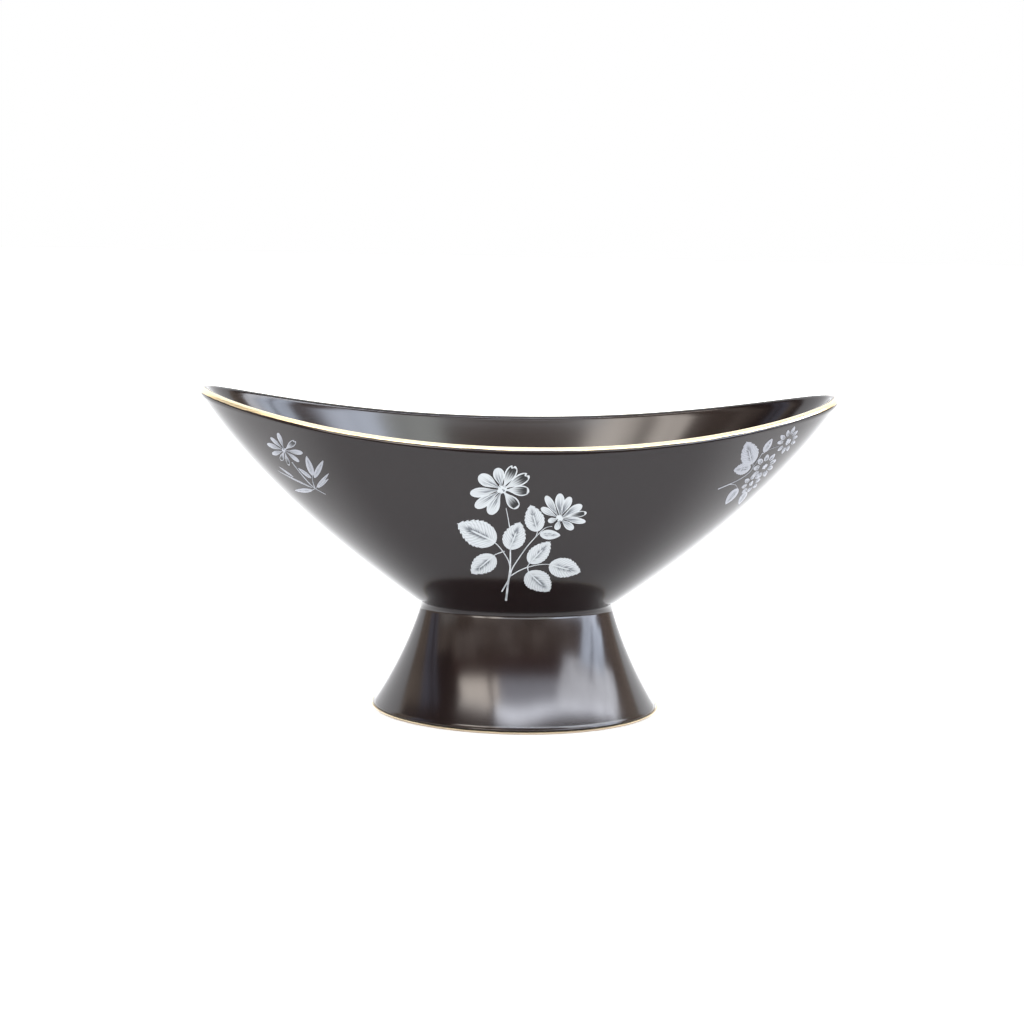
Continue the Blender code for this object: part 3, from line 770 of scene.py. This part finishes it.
def paint_spray(side, spray, wall):
    """The pieces of one spray, by part: each bloom, and the stem with its leaves."""
    anchor = spray["anchor"]
    finishes = {
        kind: bpy.data.materials[f"{spray['enamel']}_enamel_{kind}"]
        for kind in ("full_petal", "outlined_petal", "leaf", "stem", "eye")
    }
    pieces = {}
    for name, bloom in spray["blooms"].items():
        patches = []
        for layer, (reach, degrees, width, kind) in enumerate(bloom["petals"]):
            place = petal_place(bloom["centre"], reach, degrees, width, kind)
            finish = finishes["outlined_petal" if kind in (OUTLINED, NOTCHED) else "full_petal"]
            patches.append(painted_patch(wall, anchor, place, (20, 12), layer % 4, finish))
        eye = eye_place(bloom["centre"], bloom["eye"])
        patches.append(painted_patch(wall, anchor, eye, (10, 10), 5, finishes["eye"]))
        pieces[name] = joined(f"{side}_enamel_{name}", patches)
    patches = []
    for layer, leaf in enumerate(spray["leaves"]):
        patches.append(painted_patch(wall, anchor, leaf_place(*leaf), (44, 10), layer % 3, finishes["leaf"]))
    for layer, stem in enumerate(spray["stems"]):
        steps = (8 * len(stem[1]), 2)
        patches.append(painted_patch(wall, anchor, stem_place(*stem), steps, 3 + layer % 3, finishes["stem"]))
    pieces["stem_and_leaves"] = joined(f"{side}_enamel_stem_and_leaves", patches)
    return pieces


# Operators


class BOWL_OT_glazed_bowl(bpy.types.Operator):
    """Makes the glazed bowl: outer wall, rounded lip, inner wall and rounded floor"""

    bl_idname = "bowl.glazed_bowl"
    bl_label = "Glazed Bowl"

    def execute(self, context):
        s = sizes()
        floor = s.waist_height + 0.9 * s.wall
        low_rise = 0.012
        lip_radius = s.wall / 2
        wall_rings, lip_rings = 44, 14
        floor_rise, floor_blend = 22 * MM, 3.2 * MM

        def outer(share):
            return lambda angle: wall_point(angle, low_rise + (1 - low_rise) * share)

        def inner(rise, share=1.0):
            """The inner wall, eased into the level floor towards the middle."""

            def section(angle):
                point = inner_point(angle, rise)
                sink = point.z - floor_rise * (1 - share) - floor
                lifted = (sink + math.sqrt(sink * sink + floor_blend**2)) / 2
                return Vector((point.x * share, point.y * share, floor + lifted))

            return section

        sections = [lambda angle: Vector((0, 0, wall_point(0, low_rise).z))]
        sections += [
            lambda angle, part=part: Vector((*(outer(0)(angle) * part).xy, outer(0)(angle).z))
            for part in (0.4, 0.8)
        ]
        last = 1 - s.wall / 2 / (s.mid_rim_height - s.waist_height)
        sections += [outer(last * step / wall_rings) for step in range(wall_rings + 1)]
        sections += [
            lambda angle, step=step: lip_point(angle, math.pi * step / lip_rings, lip_radius)
            for step in range(lip_rings + 1)
        ]
        sections += [inner(last * (1 - step / wall_rings)) for step in range(wall_rings + 1)]
        sections += [inner(0.0, share) for share in (0.93, 0.86, 0.78, 0.68, 0.54, 0.36, 0.18, 0.0)]
        piece = drawn_out("glazed_bowl", sections)
        finish_piece(piece, bpy.data.materials["black_glaze"], "black_glaze", "bowl_body")
        return {"FINISHED"}


def meeting_length(start, start_way, end, end_way):
    """How far along the first line it comes nearest to the second."""
    gap = end - start
    lean = start_way.dot(end_way)
    return (gap.dot(start_way) - lean * gap.dot(end_way)) / (1 - lean * lean)


class BOWL_OT_waist_fillet(bpy.types.Operator):
    """Makes the hollow bead of glaze where the bowl meets its foot"""

    bl_idname = "bowl.waist_fillet"
    bl_label = "Waist Fillet"

    def execute(self, context):
        s = sizes()
        low_drop, high_rise = 0.03, 0.02

        def fillet(share):
            """A hollow curve that leaves the foot's face and meets the wall's without a crease."""

            def section(angle):
                start = foot_point(angle, low_drop)
                end = wall_point(angle, high_rise)
                up_foot = (foot_point(angle, low_drop - 0.01) - start).normalized()
                down_wall = (wall_point(angle, high_rise - 0.01) - end).normalized()
                lift = meeting_length(start, up_foot, end, down_wall)
                middle = start + up_foot * lift
                return start * (1 - share) ** 2 + middle * 2 * share * (1 - share) + end * share**2

            return section

        sections = [fillet(step / 14) for step in range(15)]
        back = s.foot_wall * 0.9
        for share in (1.0, 0.5, 0.0):
            sections.append(
                lambda angle, share=share: oval_point(
                    angle,
                    s.waist_half_length - back,
                    s.waist_half_width - back,
                    foot_point(angle, low_drop).z * (1 - share) + wall_point(angle, high_rise).z * share,
                )
            )
        piece = drawn_out("waist_fillet", sections, closed=True)
        finish_piece(piece, bpy.data.materials["black_glaze"], "black_glaze", "waist_luting", smooth_below=60)
        return {"FINISHED"}


class BOWL_OT_glazed_foot(bpy.types.Operator):
    """Makes the foot: a hollow flared skirt with a rounded bottom edge"""

    bl_idname = "bowl.glazed_foot"
    bl_label = "Glazed Foot"

    def execute(self, context):
        s = sizes()
        top = 0.02
        round_edge = 0.9 * MM

        def outer(share):
            return lambda angle: foot_point(angle, top + (0.972 - top) * share)

        def rounded(turn):
            """The bottom edge, rolled under to the standing ring."""

            def section(angle):
                start = foot_point(angle, 0.972)
                inset = round_edge * (1 - math.cos(turn))
                sunk = round_edge * math.sin(turn)
                centre = Vector((start.x, start.y, 0))
                across = (centre.x / s.foot_half_length**2, centre.y / s.foot_half_width**2, 0)
                out = Vector(across).normalized()
                flare = 0.45 * sunk
                return start + out * (flare - inset) - Vector((0, 0, sunk))

            return section

        sections = [outer(step / 40) for step in range(41)]
        sections += [rounded(math.pi / 2 * step / 6) for step in range(1, 7)]
        sections += [lambda angle: foot_point(angle, 1.0, s.foot_wall)]
        sections += [
            lambda angle, drop=1 - (1 - top) * step / 12: foot_point(angle, drop, s.foot_wall)
            for step in range(1, 13)
        ]
        piece = drawn_out("glazed_foot", sections, closed=True)
        finish_piece(piece, bpy.data.materials["black_glaze"], "black_glaze", "pedestal_foot")
        return {"FINISHED"}


class BOWL_OT_rim_gilding(bpy.types.Operator):
    """Makes the gilt line over the lip, brushed on by hand"""

    bl_idname = "bowl.rim_gilding"
    bl_label = "Rim Gilding"

    def execute(self, context):
        radius = sizes().wall / 2 + 0.05 * MM

        def line(share):
            def section(angle):
                spot = Vector((math.cos(angle), math.sin(angle), 0)) * 9
                outer_edge = math.radians(46) + 0.1 * noise.noise(spot) + 0.06 * noise.noise(spot * 5)
                inner_edge = math.radians(112) + 0.1 * noise.noise(spot + Vector((20, 0, 0)))
                return lip_point(angle, outer_edge + (inner_edge - outer_edge) * share, radius)

            return section

        piece = drawn_out("rim_gilding", [line(step / 12) for step in range(13)])
        if piece.data.polygons[0].normal.z < 0:
            piece.data.flip_normals()
        apply_solidify(piece, 0.09 * MM, -1.0)
        finish_piece(piece, bpy.data.materials["pale_gilding"], "pale_gilding", "rim_gilt_line")
        return {"FINISHED"}


class BOWL_OT_foot_gilding(bpy.types.Operator):
    """Makes the thin gilt line round the foot's bottom edge"""

    bl_idname = "bowl.foot_gilding"
    bl_label = "Foot Gilding"

    def execute(self, context):
        s = sizes()

        def line(share):
            def section(angle):
                spot = Vector((math.cos(angle), math.sin(angle), 0)) * 7
                height = (1.0 + 0.12 * noise.noise(spot)) * MM
                low = s.standing_ring + 0.12 * MM
                inset = 0.42 * MM * (1 - share) ** 2 - 0.32 * MM
                return oval_point(
                    angle,
                    s.foot_half_length - 0.2 * MM - inset,
                    s.foot_half_width - 0.2 * MM - inset,
                    low + (height - low) * share,
                )

            return section

        piece = drawn_out("foot_gilding", [line(step / 4) for step in range(5)])
        outward = piece.data.polygons[0]
        if outward.normal.xy.dot(outward.center.xy) < 0:
            piece.data.flip_normals()
        apply_solidify(piece, 0.25 * MM, -1.0)
        finish_piece(piece, bpy.data.materials["pale_gilding"], "pale_gilding", "foot_gilt_line")
        return {"FINISHED"}


class BOWL_OT_clay_ring(bpy.types.Operator):
    """Makes the bare clay ring that the foot stands on"""

    bl_idname = "bowl.clay_ring"
    bl_label = "Clay Ring"

    def execute(self, context):
        s = sizes()
        corners = [(-0.9, s.standing_ring + 0.2 * MM), (-0.7, 0.5 * s.standing_ring), (-1.1, 0.0)]
        corners += [(-4.2, 0.0), (-4.5, s.standing_ring + 0.2 * MM)]
        sections = [
            lambda angle, inset=inset, height=height: oval_point(
                angle, s.foot_half_length + inset * MM, s.foot_half_width + inset * MM, height
            )
            for inset, height in corners
        ]
        piece = drawn_out("clay_ring", sections, closed=True)
        finish_piece(piece, bpy.data.materials["bare_clay"], "bare_clay", "standing_ring")
        return {"FINISHED"}


class BOWL_OT_enamel_sprays(bpy.types.Operator):
    """Paints the three flower sprays on the front, and copies them to the back"""

    bl_idname = "bowl.enamel_sprays"
    bl_label = "Enamel Sprays"

    def execute(self, context):
        wall = outer_wall_tree()
        for side, spray in (("front", FRONT_SPRAY), ("left", LEFT_SPRAY), ("right", RIGHT_SPRAY)):
            back_side = "back" if side == "front" else f"back_{side}"
            for part, piece in paint_spray(side, spray, wall).items():
                back = copied_to_back(piece, f"{back_side}_enamel_{part}")
                finish_piece(piece, None, "white_enamel", f"{side}_spray_{part}")
                finish_piece(back, None, "white_enamel", f"{back_side}_spray_{part}")
        return {"FINISHED"}


class BOWL_OT_finishes(bpy.types.Operator):
    """Makes the glaze, gilding, clay and enamel materials"""

    bl_idname = "bowl.finishes"
    bl_label = "Finishes"

    def execute(self, context):
        make_black_glaze()
        make_gilding()
        make_bare_clay()
        c = colours()
        coats = (("thick", c.enamel, c.enamel_shade), ("thin", c.thin_enamel, c.thin_enamel_shade))
        for coat, white, shade in coats:
            make_full_petal_enamel(coat, rgba(white), rgba(shade))
            make_outlined_petal_enamel(coat, rgba(white), rgba(c.enamel_wash))
            make_leaf_enamel(coat, rgba(white), rgba(shade))
            make_stem_enamel(coat, rgba(white), rgba(shade))
            make_eye_enamel(coat, rgba(white), rgba(shade))
        return {"FINISHED"}


# What the gloss reflects, each laid over the one before it: from and to in degrees round from the front,
# from and to in degrees of level, softness in degrees, brightness and colour
REFLECTIONS = [
    ((-98.0, -83.0), (28.0, 82.0), 1.0, 1.9, "#B4B9CE"),
    ((-89.5, -87.5), (28.0, 82.0), 0.6, 0.3, "#8A7F78"),
    ((-82.0, -64.0), (50.0, 82.0), 2.0, 0.35, "#B3A39A"),
    ((-64.0, 52.0), (54.5, 61.5), 1.2, 0.8, "#A8796A"),
    ((-61.0, -19.0), (62.0, 71.0), 0.7, 12.5, "#F0E6DC"),
    ((-19.0, 52.0), (61.5, 71.0), 0.9, 5.2, "#DCDFEB"),
    ((-31.0, -27.0), (58.0, 74.5), 0.3, 0.3, "#8A7F78"),
    ((50.0, 103.0), (52.5, 71.0), 1.0, 11.5, "#EDF0F8"),
    ((66.0, 92.0), (34.0, 53.5), 0.8, 13.0, "#DDE8FA"),
    ((77.0, 78.6), (34.0, 60.0), 0.4, 0.7, "#8A8F98"),
    ((-27.0, 101.0), (69.8, 73.6), 0.3, 21.0, "#EEF2FC"),
    ((-66.0, -38.0), (70.6, 72.8), 0.4, 9.0, "#EEEAE6"),
    ((31.0, 84.0), (14.0, 33.6), 1.5, 16.0, "#CDD5E4"),
    ((17.5, 29.0), (14.0, 33.6), 1.2, 9.0, "#CFD3D0"),
    ((56.0, 57.6), (14.0, 36.0), 0.6, 3.5, "#A0A4AA"),
    ((-34.0, -11.0), (14.0, 33.6), 2.2, 14.0, "#E8DFD6"),
    ((-12.0, 17.5), (23.6, 33.6), 0.6, 9.0, "#E2E5EA"),
    ((-24.0, -21.0), (14.0, 33.6), 1.0, 3.2, "#B8AFA6"),
    ((-78.0, -56.0), (16.0, 36.0), 2.0, 3.0, "#D2CCC6"),
]


def light_room():
    """White to the camera and a white tent to matt surfaces; in the gloss, a dim room with bright windows."""
    world = bpy.data.worlds.new("studio")
    bpy.context.scene.world = world
    world.use_nodes = True
    world.cycles.sampling_method = "NONE"
    tree = world.node_tree
    tree.nodes.clear()
    direction = add_node(tree, "ShaderNodeTexCoord").outputs["Generated"]
    axes = add_node(tree, "ShaderNodeSeparateXYZ", {"Vector": direction}).outputs
    rise = add_node(tree, "ShaderNodeMath", {0: axes["Z"]}, operation="ARCSINE")
    height = add_node(tree, "ShaderNodeMath", {0: rise}, operation="DEGREES")
    front = add_node(tree, "ShaderNodeMath", {0: axes["Y"], 1: -1.0}, operation="MULTIPLY")
    bearing = add_node(tree, "ShaderNodeMath", {0: axes["X"], 1: front}, operation="ARCTAN2")
    turn = add_node(tree, "ShaderNodeMath", {0: bearing}, operation="DEGREES")
    away = add_node(tree, "ShaderNodeMath", {0: turn}, operation="ABSOLUTE")
    # Level: the height that a line over the middle reaches, for a line that sinks to both sides
    near = add_node(tree, "ShaderNodeMath", {0: away, 1: 112.0}, operation="MINIMUM")
    side = add_node(tree, "ShaderNodeMath", {0: near, 1: 147.0}, operation="DIVIDE")
    sink = add_node(tree, "ShaderNodeMath", {0: side, 1: 2.0}, operation="POWER")
    kept = add_node(tree, "ShaderNodeMath", {0: 1.0, 1: sink}, operation="SUBTRACT")
    level = add_node(tree, "ShaderNodeMath", {0: height, 1: kept}, operation="DIVIDE")

    # Shelves and cupboards: blocks of different browns and greys
    wall_place = add_node(tree, "ShaderNodeCombineXYZ", {"X": turn, "Y": level})
    shelves = add_node(
        tree,
        "ShaderNodeTexBrick",
        {
            "Vector": wall_place,
            "Color1": (0.75, 0.58, 0.45, 1.0),
            "Color2": (2.1, 1.8, 1.65, 1.0),
            "Mortar": (0.25, 0.2, 0.18, 1.0),
            "Scale": 0.05,
            "Mortar Size": 0.02,
            "Brick Width": 0.75,
            "Row Height": 0.42,
            "Bias": -0.25,
        },
    )
    # The dark floor, and what is laid over it: where it is read, from and to, and its colour
    room = (0.12, 0.1, 0.09, 1.0)
    parts = (
        (level, -2.0, 18.0, (1.2, 1.0, 0.86, 1.0)),
        (level, 35.0, 37.0, shelves),
        (away, 56.0, 60.0, (1.1, 0.9, 0.76, 1.0)),
        (level, 53.5, 55.0, (0.5, 0.42, 0.38, 1.0)),
        (away, 98.0, 99.5, (1.15, 0.95, 0.78, 1.0)),
    )
    for where, start, end, part in parts:
        reach = {"Value": where, "From Min": start, "From Max": end}
        share = add_node(tree, "ShaderNodeMapRange", reach, **SMOOTH)
        room = add_node(tree, "ShaderNodeMix", {0: share, 6: room, 7: part}, data_type="RGBA")
    for (left, right), (low, high), soft, bright, tint in REFLECTIONS:
        edges = (
            (turn, left - soft, left, 0.0, 1.0),
            (turn, right, right + soft, 1.0, 0.0),
            (level, low - soft, low, 0.0, 1.0),
            (level, high, high + soft, 1.0, 0.0),
        )
        inside = 1.0
        for where, start, end, before, after in edges:
            reach = {"Value": where, "From Min": start, "From Max": end, "To Min": before, "To Max": after}
            edge = add_node(tree, "ShaderNodeMapRange", reach, **SMOOTH)
            inside = add_node(tree, "ShaderNodeMath", {0: inside, 1: edge}, operation="MULTIPLY")
        shine = rgba(linear(tint), bright)
        room = add_node(tree, "ShaderNodeMix", {0: inside, 6: room, 7: shine}, data_type="RGBA")

    # Folds of curtain darken the room in upright streaks, and more so below its ceiling
    fold_rise = add_node(tree, "ShaderNodeMath", {0: level, 1: 0.16}, operation="MULTIPLY")
    fold_place = add_node(tree, "ShaderNodeCombineXYZ", {"X": turn, "Y": fold_rise})
    folds = add_node(tree, "ShaderNodeTexNoise", {"Vector": fold_place, "Scale": 0.3, "Detail": 3.0})
    fold_reach = {"Value": folds, "From Min": 0.36, "From Max": 0.6, "To Min": 1.0, "To Max": 0.0}
    fold = add_node(tree, "ShaderNodeMapRange", fold_reach, **SMOOTH)
    depth_reach = {"Value": level, "From Min": 56.0, "From Max": 60.0, "To Min": 0.42, "To Max": 0.12}
    depth = add_node(tree, "ShaderNodeMapRange", depth_reach, **SMOOTH)
    darkened = add_node(tree, "ShaderNodeMath", {0: fold, 1: depth}, operation="MULTIPLY")
    curtain = add_node(tree, "ShaderNodeMath", {0: 1.05, 1: darkened}, operation="SUBTRACT")
    # Branches stand before the bright right side
    branches = add_node(tree, "ShaderNodeTexNoise", {"Vector": wall_place, "Scale": 0.16, "Detail": 2.0})
    branch_side = add_node(tree, "ShaderNodeMath", {0: branches, 1: 0.5}, operation="SUBTRACT")
    off_branch = add_node(tree, "ShaderNodeMath", {0: branch_side}, operation="ABSOLUTE")
    clear_reach = {"Value": off_branch, "From Min": 0.004, "From Max": 0.02}
    clear = add_node(tree, "ShaderNodeMapRange", clear_reach, **SMOOTH)
    side_reach = {"Value": turn, "From Min": 48.0, "From Max": 52.0}
    right = add_node(tree, "ShaderNodeMapRange", side_reach, **SMOOTH)
    upper_reach = {"Value": level, "From Min": 36.0, "From Max": 38.0}
    upper = add_node(tree, "ShaderNodeMapRange", upper_reach, **SMOOTH)
    upper_right = add_node(tree, "ShaderNodeMath", {0: right, 1: upper}, operation="MULTIPLY")
    elsewhere = add_node(tree, "ShaderNodeMath", {0: 1.0, 1: upper_right}, operation="SUBTRACT")
    open_air = add_node(tree, "ShaderNodeMath", {0: clear, 1: elsewhere}, operation="MAXIMUM")
    light_reach = {"Value": open_air, "To Min": 0.25}
    light = add_node(tree, "ShaderNodeMapRange", light_reach, **SMOOTH)
    streaked = add_node(tree, "ShaderNodeMath", {0: curtain, 1: light}, operation="MULTIPLY")
    room = add_node(
        tree, "ShaderNodeMix", {0: 1.0, 6: room, 7: streaked}, data_type="RGBA", blend_type="MULTIPLY"
    )

    # A brown ceiling overhead, and white sweeps far round to either side
    above_reach = {"Value": level, "From Min": 73.6, "From Max": 74.2}
    above = add_node(tree, "ShaderNodeMapRange", above_reach, **SMOOTH)
    ceiling = (0.22, 0.18, 0.16, 1.0)
    room = add_node(tree, "ShaderNodeMix", {0: above, 6: room, 7: ceiling}, data_type="RGBA")
    left_reach = {"Value": turn, "From Min": -118.0, "From Max": -116.0, "To Min": 1.0, "To Max": 0.0}
    past_left = add_node(tree, "ShaderNodeMapRange", left_reach, **SMOOTH)
    right_reach = {"Value": turn, "From Min": 122.0, "From Max": 124.0}
    past_right = add_node(tree, "ShaderNodeMapRange", right_reach, **SMOOTH)
    past_sides = add_node(tree, "ShaderNodeMath", {0: past_left, 1: past_right}, operation="MAXIMUM")
    sweep = (1.85, 1.86, 1.9, 1.0)
    room = add_node(tree, "ShaderNodeMix", {0: past_sides, 6: room, 7: sweep}, data_type="RGBA")

    rays = add_node(tree, "ShaderNodeLightPath").outputs
    tent = (1.6, 1.62, 1.66, 1.0)
    seen = add_node(tree, "ShaderNodeMix", {0: rays["Is Diffuse Ray"], 6: room, 7: tent}, data_type="RGBA")
    white = (1.0, 1.0, 1.0, 1.0)
    seen = add_node(tree, "ShaderNodeMix", {0: rays["Is Camera Ray"], 6: seen, 7: white}, data_type="RGBA")
    background = add_node(tree, "ShaderNodeBackground", {"Color": seen})
    add_node(tree, "ShaderNodeOutputWorld", {"Surface": background})


def make_table():
    """A white laminate table, plain and matt, which ends 43 cm in front of the bowl."""
    half_width, front, back = 4.0, -0.43, 3.57
    deselect_all()
    bpy.ops.mesh.primitive_plane_add(size=1.0)
    table = bpy.context.object
    table.name = "table"
    for vert in table.data.vertices:
        side = math.copysign(half_width, vert.co.x)
        vert.co = (side, back if vert.co.y > 0 else front, -0.02 * MM)
    tree, shader, place = new_material("white_table")
    base = colours().table
    # Paper fibres of 1 mm under the laminate
    fibre = add_node(tree, "ShaderNodeTexNoise", {"Vector": place, "Scale": 900.0, "Detail": 2.0})
    white = add_node(tree, "ShaderNodeMix", {0: fibre, 6: rgba(base, 0.985), 7: rgba(base)}, data_type="RGBA")
    # In place of lamps the table glows, more so beside and behind the bowl than in front of it
    axes = add_node(tree, "ShaderNodeSeparateXYZ", {"Vector": place}).outputs
    off_middle = add_node(tree, "ShaderNodeMath", {0: axes["X"]}, operation="ABSOLUTE")
    beside = add_node(tree, "ShaderNodeMath", {0: off_middle, 1: axes["Y"]}, operation="ADD")
    glow_reach = {"Value": beside, "From Min": 0.02, "From Max": 0.17, "To Min": 0.12, "To Max": 1.5}
    glow = add_node(tree, "ShaderNodeMapRange", glow_reach, **SMOOTH)
    connect(tree, shader, {"Base Color": white, "Roughness": 0.7, "Emission Strength": glow})
    connect(tree, shader, {"Emission Color": (1.0, 1.0, 1.0, 1.0)})
    table.data.materials.append(bpy.data.materials["white_table"])


def place_camera():
    """A long lens 1.15 m in front, a little to the left and 12 cm above the rim, rolled slightly."""
    turn = math.radians(-3.934)
    distance, height, roll = 1.15, 0.2604, math.radians(1.313)
    eye = Vector((distance * math.sin(turn), -distance * math.cos(turn), height))
    ahead = (Vector((0, 0, 0.07)) - eye).normalized()
    level = ahead.cross(Vector((0, 0, 1))).normalized()
    upright = level.cross(ahead)
    right = level * math.cos(roll) + upright * math.sin(roll)
    up = upright * math.cos(roll) - level * math.sin(roll)
    data = bpy.data.cameras.new("camera")
    data.sensor_width = 36.0
    data.lens = 93.38
    data.shift_x = -0.0057
    data.shift_y = 0.036
    data.clip_start = 0.05
    data.clip_end = 30.0
    camera = bpy.data.objects.new("camera", data)
    bpy.context.scene.collection.objects.link(camera)
    camera.matrix_world = Matrix.Translation(eye) @ Matrix((right, up, -ahead)).transposed().to_4x4()
    bpy.context.scene.camera = camera


class BOWL_OT_studio(bpy.types.Operator):
    """Sets the white table, the soft studio light and the camera"""

    bl_idname = "bowl.studio"
    bl_label = "Studio"

    def execute(self, context):
        make_table()
        light_room()
        place_camera()
        context.scene.view_settings.view_transform = "Standard"
        return {"FINISHED"}


class BOWL_PT_panel(bpy.types.Panel):
    """Lists the bowl's sizes, colours and pieces"""

    bl_idname = "BOWL_PT_panel"
    bl_label = "Footed Oval Bowl"
    bl_space_type = "VIEW_3D"
    bl_region_type = "UI"
    bl_category = "Bowl"

    def draw(self, context):
        layout = self.layout
        for group in (context.scene.bowl_sizes, context.scene.bowl_colours):
            box = layout.box()
            for name in group.__annotations__:
                box.prop(group, name)
        for operator in OPERATORS:
            layout.operator(operator.bl_idname)


OPERATORS = (
    BOWL_OT_finishes,
    BOWL_OT_glazed_bowl,
    BOWL_OT_waist_fillet,
    BOWL_OT_glazed_foot,
    BOWL_OT_rim_gilding,
    BOWL_OT_foot_gilding,
    BOWL_OT_clay_ring,
    BOWL_OT_enamel_sprays,
    BOWL_OT_studio,
)
CLASSES = (BowlSizes, BowlColours, *OPERATORS, BOWL_PT_panel)


def register():
    for cls in CLASSES:
        bpy.utils.register_class(cls)
    bpy.types.Scene.bowl_sizes = PointerProperty(type=BowlSizes)
    bpy.types.Scene.bowl_colours = PointerProperty(type=BowlColours)


def unregister():
    del bpy.types.Scene.bowl_colours
    del bpy.types.Scene.bowl_sizes
    for cls in reversed(CLASSES):
        bpy.utils.unregister_class(cls)


def main():
    register()
    bpy.ops.bowl.finishes()
    bpy.ops.bowl.glazed_bowl()
    bpy.ops.bowl.waist_fillet()
    bpy.ops.bowl.glazed_foot()
    bpy.ops.bowl.rim_gilding()
    bpy.ops.bowl.foot_gilding()
    bpy.ops.bowl.clay_ring()
    bpy.ops.bowl.enamel_sprays()
    bpy.ops.bowl.studio()


if __name__ == "__main__":
    main()
